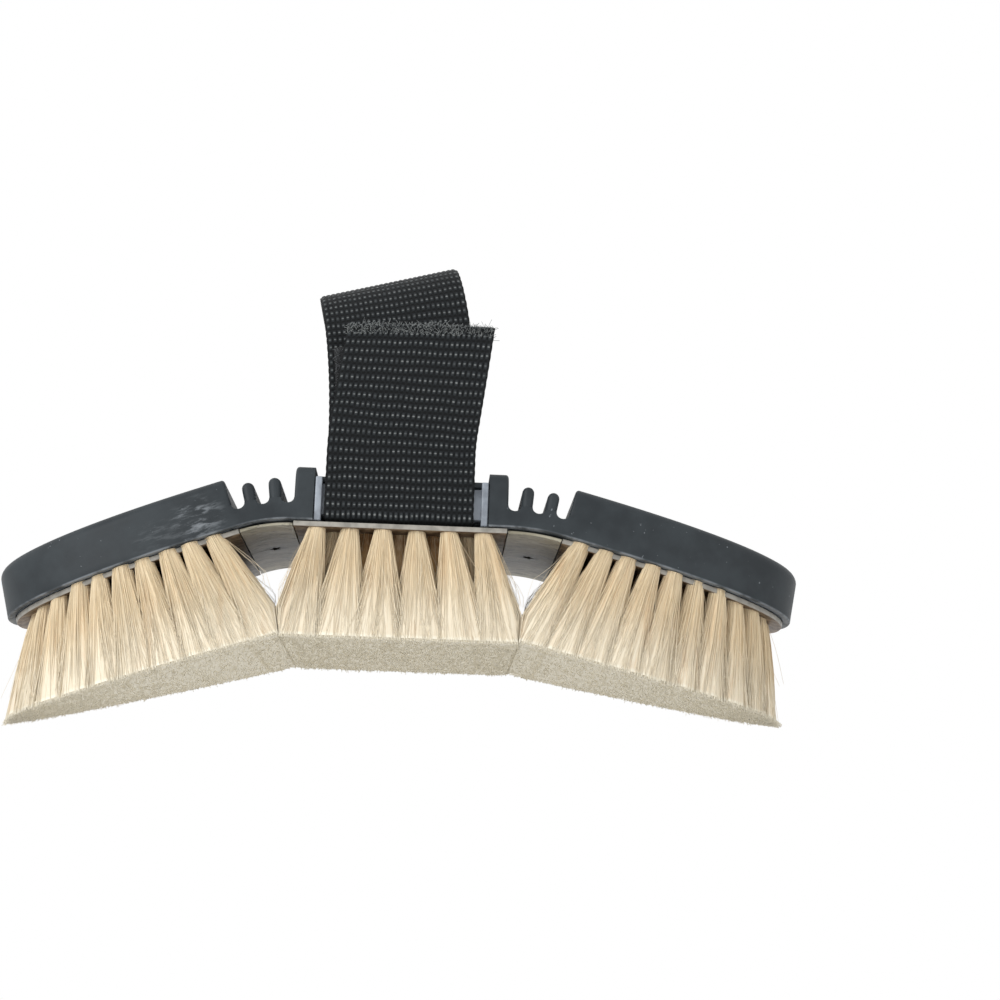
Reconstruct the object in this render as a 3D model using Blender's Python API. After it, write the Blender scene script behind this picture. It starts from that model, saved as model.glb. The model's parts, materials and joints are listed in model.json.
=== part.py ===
# Flexible hand grooming brush: three goat hair blocks joined by two rubber hinges, with a webbing strap.
# Metres, +Z up, +X along the brush, the near side of the brush at -Y.
# The model stands on the outer bristle tips, with both wings flexed down as over a curved flank.

import math

import bpy
import bmesh
from mathutils import Matrix, Vector

# Clearance kept between touching pieces, and how far a cutter runs past the piece that it cuts
GAP = 0.0003
OVERRUN = 0.004

# Webbing strap
WEBBING_WIDTH = 0.0381
WEBBING_THICKNESS = 0.0016
WEBBING_BEND_RADIUS = 0.0016
WEBBING_SIDE_CLEARANCE = 0.001
STRAP_SHIFT = -0.0006
STRAP_FOOT_RISE = 0.0002
ARCH_HEIGHT = 0.0578
ARCH_ROUNDNESS = 3.4
ARCH_TILT = math.radians(15.5)
ARCH_TILT_GROWTH = 1.5
TAB_LENGTH = 0.0378
TAB_LEAN = math.radians(7.5)
TAB_LEAN_START = 0.003
TAB_LEAN_EASE = 0.01
TAB_CUT_SHARE = 0.45
PATCH_THICKNESS = 0.0008
PATCH_SIDE_MARGIN = 0.0015
PATCH_FOOT_MARGIN = 0.005
PATCH_END_MARGIN = 0.0025

# Body, in the flat state, with heights from the underside of its plates
BODY_HALF_WIDTH = 0.033
WING_LENGTH = 0.0668
PLAN_ROUNDNESS = 2.3
PLATE_THICKNESS = 0.0014
PLATE_SETBACK = 0.0005
CENTER_HEIGHT = 0.0162
WING_INNER_HEIGHT = 0.0152
WING_OUTER_HEIGHT = 0.015
COVER_WALL = 0.002
COVER_TOP = 0.0025
COVER_END_WALL = 0.0018
COVER_DRAFT = 0.0009
COVER_TOP_RADIUS = 0.003
BASE_EDGE_RADIUS = 0.0005

# Strap recess in the center block
RECESS_FLUSH_DEPTH = 0.0003
RECESS_LIP_DROP = 0.0025
RECESS_LIP_DRAFT = math.radians(3.0)
CORNER_POST_LENGTH = 0.005
CENTER_COVER_TOP = 0.0016
GUIDE_RIB_WIDTH = 0.0017
GUIDE_RIB_DROP = 0.0029

# Flexing hinges
LEFT_FLEX_ANGLE = math.radians(19.8)
RIGHT_FLEX_ANGLE = math.radians(14.4)
BAND_THICKNESS = 0.0044
SLOT_WIDTH = 0.0032
SLOT_COUNT = 3
RIB_WIDTH = 0.0028
INNER_RIB_DROP = 0.0033
OUTER_RIB_DROP = 0.0027
BELLOWS_EDGE_RADIUS = 0.001
WEB_THICKNESS = 0.0008
WEB_SETBACK = 0.0018
STAR_OUTER_RADIUS = 0.0021
STAR_INNER_RADIUS = 0.001
STAR_POINTS = 5

# Bristles
BRISTLE_LENGTH = 0.0285
BRISTLE_END_LENGTH = 0.0265
FLOOR_TRIM = 0.0005
TUFT_ROOT_RADIUS = 0.0021
TUFT_TIP_RADIUS = 0.0036
TUFT_SPACING = 0.0004
TUFT_EDGE_INSET = 0.0043
TUFT_HINGE_INSET = 0.0035
TUFT_TOE_INSET = 0.0085
TIP_SEPARATION = 0.0005
STRANDS_PER_TUFT = 3
STRAND_HALF_ANGLE = math.radians(45.0)
STRAND_CORE_SHARE = 0.17
STRAND_PHASE = math.radians(25.0)
SIDE_SPLAY = math.radians(5.5)
LEFT_TOE_SPLAY = math.radians(26.0)
RIGHT_TOE_SPLAY = math.radians(18.0)

# Resolution
PLAN_STEPS = 30
ROUND_STEPS = 4
ARCH_STEPS = 30
TAB_STEPS = 14
PROFILE_SAMPLES = 400
SHADE_ANGLE = math.radians(35.0)

# Values worked out from the sizes above
SIDE_NAME = {-1: "left", 1: "right"}
SIDE_WORD = {-1: "near", 1: "far"}
FLEX_ANGLE = {-1: LEFT_FLEX_ANGLE, 1: RIGHT_FLEX_ANGLE}
TOE_SPLAY = {-1: LEFT_TOE_SPLAY, 1: RIGHT_TOE_SPLAY}
CHANNEL_HALF = WEBBING_WIDTH / 2 + WEBBING_SIDE_CLEARANCE + abs(STRAP_SHIFT)
RECESS_HALF_LENGTH = CHANNEL_HALF + GUIDE_RIB_WIDTH + GAP
RECESS_DEPTH = RECESS_FLUSH_DEPTH + WEBBING_THICKNESS + GAP
HINGE_START = RECESS_HALF_LENGTH + CORNER_POST_LENGTH
HINGE_END = HINGE_START + SLOT_COUNT * SLOT_WIDTH + (SLOT_COUNT - 1) * RIB_WIDTH
HINGE_MIDDLE = (HINGE_START + HINGE_END) / 2
HINGE_HALF = (HINGE_END - HINGE_START) / 2
BODY_HALF_LENGTH = HINGE_END + WING_LENGTH
COVER_BOTTOM = PLATE_THICKNESS + GAP
BAND_TOP = COVER_BOTTOM + BAND_THICKNESS
FLEX_AXIS_HEIGHT = COVER_BOTTOM + BAND_THICKNESS / 2
SLOT_FLOOR_RADIUS = (SLOT_WIDTH - GAP) / 2
CENTER_LIP = CENTER_HEIGHT - RECESS_LIP_DROP
CORE_TOP = CENTER_LIP - CENTER_COVER_TOP - GAP
RECESS_FLOOR = BODY_HALF_WIDTH - RECESS_DEPTH
STRAP_FACE = RECESS_FLOOR + GAP + WEBBING_THICKNESS / 2
STRAP_FOOT = CENTER_HEIGHT + STRAP_FOOT_RISE
UNDERPASS_LEVEL = COVER_BOTTOM + WEBBING_THICKNESS / 2
CHANNEL_ROOF = COVER_BOTTOM + WEBBING_THICKNESS + GAP
LOOP_OFFSET = WEBBING_THICKNESS / 2 + GAP + PATCH_THICKNESS / 2
HOOK_OFFSET = LOOP_OFFSET + PATCH_THICKNESS + GAP
TAB_OFFSET = HOOK_OFFSET + PATCH_THICKNESS / 2 + GAP + WEBBING_THICKNESS / 2
ARCH_NEAR_FOOT = STRAP_FACE - TAB_OFFSET
ARCH_MIDDLE = (STRAP_FACE - ARCH_NEAR_FOOT) / 2
ARCH_HALF_SPAN = (STRAP_FACE + ARCH_NEAR_FOOT) / 2
TUFT_PITCH = 2 * TUFT_TIP_RADIUS + TUFT_SPACING


def clear_scene():
    for item in list(bpy.data.objects):
        bpy.data.objects.remove(item, do_unlink=True)


def make_collection(name):
    group = bpy.data.collections.new(name)
    bpy.context.scene.collection.children.link(group)
    return group


def make_material(name, colour, roughness, metallic=0.0, transmission=0.0):
    material = bpy.data.materials.new(name)
    material.use_nodes = True
    shader = material.node_tree.nodes["Principled BSDF"]
    shader.inputs["Base Color"].default_value = (*colour, 1.0)
    shader.inputs["Roughness"].default_value = roughness
    shader.inputs["Metallic"].default_value = metallic
    shader.inputs["Transmission Weight"].default_value = transmission
    material.diffuse_color = (*colour, 1.0)
    return material


def shade_by_angle(mesh):
    mesh.shade_smooth()
    mesh.set_sharp_from_angle(angle=SHADE_ANGLE)


def add_object(name, mesh, material, parent, group):
    item = bpy.data.objects.new(name, mesh)
    if material is not None:
        mesh.materials.append(material)
        shade_by_angle(mesh)
    group.objects.link(item)
    item.parent = parent
    return item


def add_empty(name, location, rotation, parent, group):
    empty = bpy.data.objects.new(name, None)
    group.objects.link(empty)
    empty.parent = parent
    empty.location = location
    empty.rotation_euler = rotation
    return empty


def mesh_from(name, build):
    """Mesh whose shape the build function draws in a new bmesh, with its faces turned outward."""
    mesh = bpy.data.meshes.new(name)
    work = bmesh.new()
    build(work)
    bmesh.ops.recalc_face_normals(work, faces=work.faces)
    work.to_mesh(mesh)
    work.free()
    return mesh


def loft(work, rings):
    """Closed body through rings of equal count, capped at both ends."""
    rows = [[work.verts.new(point) for point in ring] for ring in rings]
    count = len(rings[0])
    for lower, upper in zip(rows, rows[1:]):
        for i in range(count):
            j = (i + 1) % count
            work.faces.new((lower[i], lower[j], upper[j], upper[i]))
    work.faces.new(list(reversed(rows[0])))
    work.faces.new(rows[-1])


def box_mesh(name, low, high, edge_radius=0.0):
    size = Vector(high) - Vector(low)
    middle = (Vector(high) + Vector(low)) / 2

    def build(work):
        bmesh.ops.create_cube(work, size=1.0)
        bmesh.ops.scale(work, vec=size, verts=work.verts)
        bmesh.ops.translate(work, vec=middle, verts=work.verts)
        if edge_radius > 0:
            bmesh.ops.bevel(work, geom=work.edges[:], offset=edge_radius, segments=2,
                            profile=0.5, affect="EDGES", clamp_overlap=True)

    return mesh_from(name, build)


def outline_mesh(name, points, half_width):
    """Flat XZ outline drawn as a filled curve, extruded both ways along Y."""
    curve = bpy.data.curves.new(name, "CURVE")
    curve.dimensions = "2D"
    curve.fill_mode = "BOTH"
    curve.extrude = half_width
    spline = curve.splines.new("POLY")
    spline.points.add(len(points) - 1)
    for target, (x, z) in zip(spline.points, points):
        target.co = (x, z, 0.0, 1.0)
    spline.use_cyclic_u = True
    drawn = bpy.data.objects.new(name, curve)
    bpy.context.scene.collection.objects.link(drawn)
    bpy.context.view_layer.update()
    evaluated = drawn.evaluated_get(bpy.context.evaluated_depsgraph_get())
    mesh = bpy.data.meshes.new_from_object(evaluated)
    bpy.data.objects.remove(drawn, do_unlink=True)
    bpy.data.curves.remove(curve)
    mesh.transform(Matrix.Rotation(math.pi / 2, 4, "X"))
    work = bmesh.new()
    work.from_mesh(mesh)
    bmesh.ops.remove_doubles(work, verts=work.verts, dist=GAP / 10)
    bmesh.ops.recalc_face_normals(work, faces=work.faces)
    work.to_mesh(mesh)
    work.free()
    return mesh


def round_side_edges(mesh, half_width, radius):
    """Round the edges where an extruded outline meets its two side faces."""
    work = bmesh.new()
    work.from_mesh(mesh)
    limit = half_width - GAP
    edges = [edge for edge in work.edges
             if all(abs(vert.co.y) > limit for vert in edge.verts)
             and edge.is_manifold and edge.calc_face_angle() > SHADE_ANGLE]
    bmesh.ops.bevel(work, geom=edges, offset=radius, segments=2, profile=0.5,
                    affect="EDGES", clamp_overlap=True)
    bmesh.ops.recalc_face_normals(work, faces=work.faces)
    work.to_mesh(mesh)
    work.free()


def combine(target, other, operation):
    modifier = target.modifiers.new(other.name, "BOOLEAN")
    modifier.operation = operation
    modifier.object = other


def make_tool(name, mesh, parent, group):
    tool = add_object(name, mesh, None, parent, group)
    tool.hide_render = True
    tool.display_type = "WIRE"
    return tool


def wing_plan(inset, end_inset=0.0):
    """Plan of one wing in the flat state, from the near hinge corner round the toe to the far one."""
    start = HINGE_END + GAP / 2 + end_inset
    reach = BODY_HALF_LENGTH - inset - start
    half_width = BODY_HALF_WIDTH - inset
    power = 2.0 / PLAN_ROUNDNESS
    points = []
    for i in range(PLAN_STEPS + 1):
        turn = -math.pi / 2 + math.pi * i / PLAN_STEPS
        along = max(math.cos(turn), 0.0) ** power
        across = math.copysign(abs(math.sin(turn)) ** power, math.sin(turn))
        points.append((start + reach * along, half_width * across))
    return points


def wing_height(x, share):
    """Height above the underside at a share of the wing's thickness, which grows toward the toe."""
    along = (x - HINGE_END) / (BODY_HALF_LENGTH - HINGE_END)
    return share * (WING_INNER_HEIGHT + (WING_OUTER_HEIGHT - WING_INNER_HEIGHT) * along)


def wing_ring(side, level, inset, end_inset=0.0, follow_top=False):
    """Ring of one wing at a level, in the frame of its flex axis."""
    ring = []
    for x, y in wing_plan(inset, end_inset):
        height = level
        if follow_top:
            height += wing_height(x, 1.0) - WING_INNER_HEIGHT
        ring.append(Vector((side * (x - HINGE_MIDDLE), y, height - FLEX_AXIS_HEIGHT)))
    return ring


def center_ring(level, inset, end_inset=0.0):
    """Ring of the center block at a level."""
    half_length = HINGE_START - GAP / 2 - end_inset
    half_width = BODY_HALF_WIDTH - inset
    corners = ((-half_length, -half_width), (half_length, -half_width),
               (half_length, half_width), (-half_length, half_width))
    return [Vector((x, y, level)) for x, y in corners]


def rounded_top_levels(top):
    """Pairs of level and inset that run up a drafted wall and round over onto the top."""
    pairs = [(COVER_BOTTOM, 0.0)]
    for i in range(ROUND_STEPS + 1):
        turn = math.pi / 2 * i / ROUND_STEPS
        rise = COVER_TOP_RADIUS * (math.sin(turn) - 1)
        inset = COVER_DRAFT + COVER_TOP_RADIUS * (1 - math.cos(turn))
        pairs.append((top + rise, inset))
    return pairs


def wing_cover(side, parent, group, material):
    levels = rounded_top_levels(WING_INNER_HEIGHT)
    cavity_top = WING_INNER_HEIGHT - COVER_TOP
    inner = [wing_ring(side, cavity_top, COVER_WALL + COVER_DRAFT, COVER_END_WALL, True),
             wing_ring(side, COVER_BOTTOM, COVER_WALL, COVER_END_WALL)]
    outer = [wing_ring(side, levels[0][0], levels[0][1])]
    outer += [wing_ring(side, level, inset, 0.0, True) for level, inset in levels[1:]]
    name = SIDE_NAME[side] + "_cover"
    mesh = mesh_from(name, lambda work: loft(work, inner + outer))
    return add_object(name, mesh, material, parent, group)


def wing_base(side, parent, group, material):
    inset = COVER_WALL + GAP
    top = WING_INNER_HEIGHT - COVER_TOP - GAP
    end = COVER_END_WALL + GAP
    rings = [wing_ring(side, COVER_BOTTOM, inset, end),
             wing_ring(side, top - BASE_EDGE_RADIUS, inset + COVER_DRAFT, end, True),
             wing_ring(side, top, inset + COVER_DRAFT + BASE_EDGE_RADIUS, end, True)]
    name = SIDE_NAME[side] + "_base"
    mesh = mesh_from(name, lambda work: loft(work, rings))
    return add_object(name, mesh, material, parent, group)


def center_cover(parent, group, tools, material):
    levels = rounded_top_levels(CENTER_HEIGHT)
    inner = [center_ring(CORE_TOP + GAP, COVER_WALL, COVER_END_WALL),
             center_ring(COVER_BOTTOM, COVER_WALL, COVER_END_WALL)]
    outer = [center_ring(level, inset) for level, inset in levels]
    mesh = mesh_from("center_cover", lambda work: loft(work, inner + outer))
    cover = add_object("center_cover", mesh, material, parent, group)
    for side in (-1, 1):
        inner_y, outer_y = sorted((side * RECESS_FLOOR, side * (BODY_HALF_WIDTH + OVERRUN)))
        low = (-RECESS_HALF_LENGTH, inner_y, -OVERRUN)
        high = (RECESS_HALF_LENGTH, outer_y, CENTER_HEIGHT + OVERRUN)
        name = SIDE_WORD[side] + "_recess_cut"
        combine(cover, make_tool(name, box_mesh(name, low, high), parent, tools), "DIFFERENCE")
    top = CENTER_HEIGHT + OVERRUN
    mouth = RECESS_HALF_LENGTH + (top - CENTER_LIP) * math.tan(RECESS_LIP_DRAFT)
    outline = [(-RECESS_HALF_LENGTH, CENTER_LIP), (RECESS_HALF_LENGTH, CENTER_LIP), (mouth, top), (-mouth, top)]
    dip_mesh = outline_mesh("palm_dip_cut", outline, BODY_HALF_WIDTH + OVERRUN)
    combine(cover, make_tool("palm_dip_cut", dip_mesh, parent, tools), "DIFFERENCE")
    return cover


def center_base(parent, group, tools, material):
    """Rigid block under the center cover, bridging the webbing, with a guide rib at each recess end."""
    half_length = HINGE_START - GAP / 2 - COVER_END_WALL - GAP
    outline = [(-half_length, COVER_BOTTOM), (-CHANNEL_HALF, COVER_BOTTOM),
               (-CHANNEL_HALF, CHANNEL_ROOF), (CHANNEL_HALF, CHANNEL_ROOF),
               (CHANNEL_HALF, COVER_BOTTOM), (half_length, COVER_BOTTOM),
               (half_length, CORE_TOP), (-half_length, CORE_TOP)]
    core_half_width = RECESS_FLOOR - GAP
    mesh = outline_mesh("center_base", outline, core_half_width)
    base = add_object("center_base", mesh, material, parent, group)
    rib_outer = RECESS_HALF_LENGTH - GAP
    rib_inner = rib_outer - GUIDE_RIB_WIDTH
    for side_x in (-1, 1):
        for side_y in (-1, 1):
            xs = sorted((side_x * rib_inner, side_x * rib_outer))
            name = "%s_guide_rib_%s" % (SIDE_NAME[side_x], SIDE_WORD[side_y])
            blade = sorted((side_y * (RECESS_FLOOR + GAP), side_y * (BODY_HALF_WIDTH - GAP)))
            root = sorted((side_y * (core_half_width - GUIDE_RIB_WIDTH),
                           side_y * (RECESS_FLOOR + GUIDE_RIB_WIDTH)))
            for word, ys, top in (("", blade, CENTER_HEIGHT - GUIDE_RIB_DROP), ("_root", root, CORE_TOP)):
                box = box_mesh(name + word, (xs[0], ys[0], COVER_BOTTOM), (xs[1], ys[1], top))
                combine(base, make_tool(name + word, box, parent, tools), "UNION")
    return base


def bend_point(side, x, z):
    """Point of a hinge section, given in the flat state, bent along the arc of the flexed hinge."""
    angle = FLEX_ANGLE[side]
    radius = HINGE_HALF / math.tan(angle / 2)
    turn = angle * (x - HINGE_START) / (HINGE_END - HINGE_START)
    reach = radius + z - FLEX_AXIS_HEIGHT
    return (side * (HINGE_START + reach * math.sin(turn)),
            FLEX_AXIS_HEIGHT - radius + reach * math.cos(turn))


def arc_points(middle_x, middle_z, radius, start, stop, steps):
    points = []
    for i in range(steps + 1):
        turn = start + (stop - start) * i / steps
        points.append((middle_x + radius * math.cos(turn), middle_z + radius * math.sin(turn)))
    return points


def bellows_outline():
    """Comb outline of a hinge in the flat state: a band with round topped ribs and round slot floors."""
    start = HINGE_START + GAP / 2
    end = HINGE_END - GAP / 2
    floor = BAND_TOP + SLOT_FLOOR_RADIUS
    fillet = SLOT_FLOOR_RADIUS
    radius = RIB_WIDTH / 2
    inner_top = CENTER_HEIGHT - INNER_RIB_DROP
    outer_top = WING_INNER_HEIGHT - OUTER_RIB_DROP
    points = [(start, COVER_BOTTOM), (end, COVER_BOTTOM)]
    for index in reversed(range(SLOT_COUNT)):
        slot_start = HINGE_START + index * (SLOT_WIDTH + RIB_WIDTH)
        low = max(slot_start, start)
        high = min(slot_start + SLOT_WIDTH, end)
        points += arc_points(high - fillet, floor, fillet, 0.0, -math.pi / 2, ROUND_STEPS)
        points += arc_points(low + fillet, floor, fillet, -math.pi / 2, -math.pi, ROUND_STEPS)
        if index > 0:
            share = (index - 1) / max(SLOT_COUNT - 2, 1)
            top = inner_top + (outer_top - inner_top) * share
            points += arc_points(slot_start - radius, top - radius, radius, 0.0, math.pi, 2 * ROUND_STEPS)
    return points


def divided(points, step):
    """Outline with its long level runs divided, so that they follow the bend."""
    out = []
    for (x0, z0), (x1, z1) in zip(points, points[1:] + points[:1]):
        parts = max(1, math.ceil(abs(x1 - x0) / step))
        for i in range(parts):
            out.append((x0 + (x1 - x0) * i / parts, z0 + (z1 - z0) * i / parts))
    return out


def bellows(side, parent, group, material):
    name = SIDE_NAME[side] + "_bellows"
    points = [bend_point(side, x, z) for x, z in divided(bellows_outline(), SLOT_WIDTH)]
    half_width = BODY_HALF_WIDTH - COVER_DRAFT / 2
    mesh = outline_mesh(name, points, half_width)
    round_side_edges(mesh, half_width, BELLOWS_EDGE_RADIUS)
    return add_object(name, mesh, material, parent, group)


def star_mesh(name, side):
    """Star cutter through the middle of a web."""
    middle_x, _ = bend_point(side, HINGE_MIDDLE, 0.0)

    def ring(level):
        points = []
        for i in range(2 * STAR_POINTS):
            radius = STAR_OUTER_RADIUS if i % 2 == 0 else STAR_INNER_RADIUS
            turn = math.pi * i / STAR_POINTS
            points.append(Vector((middle_x + radius * math.cos(turn), radius * math.sin(turn), level)))
        return points

    return mesh_from(name, lambda work: loft(work, [ring(-OVERRUN), ring(COVER_BOTTOM)]))


def web(side, parent, group, tools, material):
    """Thin translucent skin under a hinge, with a star shaped hole in its middle."""
    start = HINGE_START + GAP / 2
    end = HINGE_END - GAP / 2
    bottom = PLATE_THICKNESS - WEB_THICKNESS - GAP
    top = PLATE_THICKNESS - GAP
    flat = [(start, bottom), (end, bottom), (end, top), (start, top)]
    name = SIDE_NAME[side] + "_web"
    points = [bend_point(side, x, z) for x, z in divided(flat, RIB_WIDTH)]
    mesh = outline_mesh(name, points, BODY_HALF_WIDTH - WEB_SETBACK)
    skin = add_object(name, mesh, material, parent, group)
    cut = name + "_star"
    combine(skin, make_tool(cut, star_mesh(cut, side), parent, tools), "DIFFERENCE")
    return skin


def bisector_reach(side, depth):
    """How far the bristle line between two blocks lies outside the flex axis, seen from a wing."""
    return math.tan(FLEX_ANGLE[side] / 2) * (depth + FLEX_AXIS_HEIGHT)


def tufts_along(length):
    """How many tufts at the least pitch fit a length, ends included."""
    return max(2, math.floor(length / TUFT_PITCH) + 1)


def row_places():
    """Distances of the tuft rows from the brush's middle line."""
    half_width = BODY_HALF_WIDTH - TUFT_EDGE_INSET
    rows = tufts_along(2 * half_width)
    return [-half_width + 2 * half_width * i / (rows - 1) for i in range(rows)]


def staggered(columns, row):
    """Shares along a row for its tufts: every other row has one tuft fewer, set between its neighbours'."""
    if row % 2 == 0:
        return [i / (columns - 1) for i in range(columns)]
    return [(i + 0.5) / (columns - 1) for i in range(columns - 1)]


def wing_reach_at(y):
    """Length of the wing's plan at a given distance from the middle line."""
    across = min(abs(y) / (BODY_HALF_WIDTH - TUFT_EDGE_INSET / 2), 1.0)
    start = HINGE_END
    reach = BODY_HALF_LENGTH - TUFT_TOE_INSET - start
    return start + reach * (1 - across ** PLAN_ROUNDNESS) ** (1 / PLAN_ROUNDNESS)


def wing_tufts(side):
    """Root and tip places of a wing's tufts in the flat state, as (x, y, tip x, tip y, length)."""
    first = HINGE_END + TUFT_HINGE_INSET
    last = BODY_HALF_LENGTH - TUFT_TOE_INSET
    tip_first = HINGE_MIDDLE + bisector_reach(side, BRISTLE_LENGTH) + TIP_SEPARATION + TUFT_TIP_RADIUS
    tip_last = last + BRISTLE_END_LENGTH * math.tan(TOE_SPLAY[side])
    columns = tufts_along(last - first)
    tufts = []
    for row, y in enumerate(row_places()):
        for share in staggered(columns, row):
            x = first + (last - first) * share
            if x > wing_reach_at(y) + GAP:
                continue
            length = BRISTLE_LENGTH + (BRISTLE_END_LENGTH - BRISTLE_LENGTH) * share
            tip_x = tip_first + (tip_last - tip_first) * share
            tip_y = y + length * math.tan(SIDE_SPLAY) * y / BODY_HALF_WIDTH
            tufts.append((x, y, tip_x, tip_y, length))
    return tufts


def center_tufts():
    last = HINGE_START - TUFT_HINGE_INSET
    tip_left = HINGE_MIDDLE - bisector_reach(-1, BRISTLE_LENGTH) - TIP_SEPARATION - TUFT_TIP_RADIUS
    tip_right = HINGE_MIDDLE - bisector_reach(1, BRISTLE_LENGTH) - TIP_SEPARATION - TUFT_TIP_RADIUS
    columns = tufts_along(2 * last)
    tufts = []
    for row, y in enumerate(row_places()):
        for share in staggered(columns, row):
            x = -last + 2 * last * share
            tip_x = -tip_left + (tip_left + tip_right) * share
            tip_y = y + BRISTLE_LENGTH * math.tan(SIDE_SPLAY) * y / BODY_HALF_WIDTH
            tufts.append((x, y, tip_x, tip_y, BRISTLE_LENGTH))
    return tufts


def strand_corners(x, y, radius, turn):
    """Corners of one strand's wedge: one near the tuft's middle and two on its rim."""
    core = radius * STRAND_CORE_SHARE
    corners = [(x + core * math.cos(turn), y + core * math.sin(turn))]
    for offset in (-STRAND_HALF_ANGLE, STRAND_HALF_ANGLE):
        corners.append((x + radius * math.cos(turn + offset), y + radius * math.sin(turn + offset)))
    return corners


def strand_rings(tufts, root_level):
    """Root and tip rings of every strand, in the flat state."""
    rings = []
    for x, y, tip_x, tip_y, length in tufts:
        for i in range(STRANDS_PER_TUFT):
            turn = STRAND_PHASE + 2 * math.pi * i / STRANDS_PER_TUFT
            root = [(cx, cy, root_level) for cx, cy in strand_corners(x, y, TUFT_ROOT_RADIUS, turn)]
            tip = [(cx, cy, -length) for cx, cy in strand_corners(tip_x, tip_y, TUFT_TIP_RADIUS, turn)]
            rings.append((root, tip))
    return rings


def to_wing(side, point):
    x, y, z = point
    return Vector((side * (x - HINGE_MIDDLE), y, z - FLEX_AXIS_HEIGHT))


def flexed(side, point):
    """Place of a wing's flat state point once the wing is flexed down."""
    local = to_wing(side, point)
    turned = Matrix.Rotation(side * FLEX_ANGLE[side], 3, "Y") @ local
    return turned + Vector((side * HINGE_MIDDLE, 0.0, FLEX_AXIS_HEIGHT))


def lowest_tip(side):
    tips = [flexed(side, corner) for _, tip in strand_rings(wing_tufts(side), 0.0) for corner in tip]
    return min(tips, key=lambda point: point.z)


def rest_tilt_and_rise():
    """Tilt and rise of the center block that set the lowest tips of both wings on the floor."""
    left, right = lowest_tip(-1), lowest_tip(1)
    tilt = math.atan2(right.z - left.z, right.x - left.x)
    turn = Matrix.Rotation(tilt, 3, "Y")
    rise = -min((turn @ left).z, (turn @ right).z) - FLOOR_TRIM
    return tilt, rise


def bristle_block(name, plate_rings, strands, parent, group, tools, material):
    """Plate slice with its strands, as one body."""
    mesh = mesh_from(name, lambda work: loft(work, plate_rings))
    block = add_object(name, mesh, material, parent, group)

    def build(work):
        for root, tip in strands:
            loft(work, [root, tip])

    tufts = make_tool(name + "_strands", mesh_from(name + "_strands", build), parent, tools)
    combine(block, tufts, "UNION")
    return block


def wing_bristles(side, parent, group, tools, material, floor):
    name = SIDE_NAME[side] + "_bristles"
    plate = [wing_ring(side, 0.0, PLATE_SETBACK), wing_ring(side, PLATE_THICKNESS, PLATE_SETBACK)]
    strands = [([to_wing(side, p) for p in root], [to_wing(side, p) for p in tip])
               for root, tip in strand_rings(wing_tufts(side), PLATE_THICKNESS / 2)]
    block = bristle_block(name, plate, strands, parent, group, tools, material)
    combine(block, floor, "DIFFERENCE")
    return block


def center_bristles(parent, group, tools, material):
    plate = [center_ring(0.0, PLATE_SETBACK), center_ring(PLATE_THICKNESS, PLATE_SETBACK)]
    strands = strand_rings(center_tufts(), PLATE_THICKNESS / 2)
    return bristle_block("center_bristles", plate, strands, parent, group, tools, material)


def arch_profile():
    """Middle line of the strap's arch as (y, z), with the distance of each point from its near foot."""
    power = 2.0 / ARCH_ROUNDNESS
    line = []
    for i in range(PROFILE_SAMPLES + 1):
        turn = math.pi * i / PROFILE_SAMPLES
        across = math.copysign(abs(math.cos(turn)) ** power, math.cos(turn))
        rise = max(math.sin(turn), 0.0) ** power
        line.append((ARCH_MIDDLE - ARCH_HALF_SPAN * across, ARCH_HEIGHT * rise))
    distances = [0.0]
    for (y0, z0), (y1, z1) in zip(line, line[1:]):
        distances.append(distances[-1] + math.hypot(y1 - y0, z1 - z0))
    return line, distances


ARCH_LINE, ARCH_DISTANCES = arch_profile()
ARCH_LENGTH = ARCH_DISTANCES[-1]


def arch_at(distance):
    """Point and direction of the arch at a distance from its near foot; it runs straight past its feet."""
    if distance <= 0.0:
        return ARCH_LINE[0][0], distance, 0.0, 1.0
    if distance >= ARCH_LENGTH:
        return ARCH_LINE[-1][0], ARCH_LENGTH - distance, 0.0, -1.0
    index = next(i for i, value in enumerate(ARCH_DISTANCES) if value >= distance)
    d0, d1 = ARCH_DISTANCES[index - 1], ARCH_DISTANCES[index]
    (y0, z0), (y1, z1) = ARCH_LINE[index - 1], ARCH_LINE[index]
    share = (distance - d0) / (d1 - d0)
    run = math.hypot(y1 - y0, z1 - z0)
    return y0 + (y1 - y0) * share, z0 + (z1 - z0) * share, (y1 - y0) / run, (z1 - z0) / run


def arch_drift(height):
    """Tilt of the strap across its width at a height, and how far its middle has drifted sideways."""
    share = max(height, 0.0) / ARCH_HEIGHT
    tilt = ARCH_TILT * share ** ARCH_TILT_GROWTH
    drift = -ARCH_TILT * ARCH_HEIGHT * share ** (ARCH_TILT_GROWTH + 1) / (ARCH_TILT_GROWTH + 1)
    return tilt, drift


def strap_point(along, across, offset):
    """Point on the strap's surface: along the arch, across it from its middle, and out from it."""
    y, z, slope_y, slope_z = arch_at(along)
    tilt, drift = arch_drift(z)
    normal_y, normal_z = -slope_z, slope_y
    return Vector((STRAP_SHIFT + drift + across * math.cos(tilt) - offset * normal_z * math.sin(tilt),
                   y + offset * normal_y,
                   STRAP_FOOT + z + across * math.sin(tilt) + offset * normal_z * math.cos(tilt)))


def strap_ring(along, half_width, offset, thickness):
    """Section across the strap, square to its run."""
    corners = ((-1, -1), (1, -1), (1, 1), (-1, 1))
    return [strap_point(along, a * half_width, offset + b * thickness / 2) for a, b in corners]


def tab_middle(along):
    """Where the leaning tab's middle lies across the arch's surface."""
    _, z, _, _ = arch_at(along)
    tilt, drift = arch_drift(z)
    past = max(along - TAB_LEAN_START, 0.0)
    eased = past - TAB_LEAN_EASE / 2 if past > TAB_LEAN_EASE else past * past / (2 * TAB_LEAN_EASE)
    return (math.tan(TAB_LEAN) * eased - drift) / math.cos(tilt)


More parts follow.
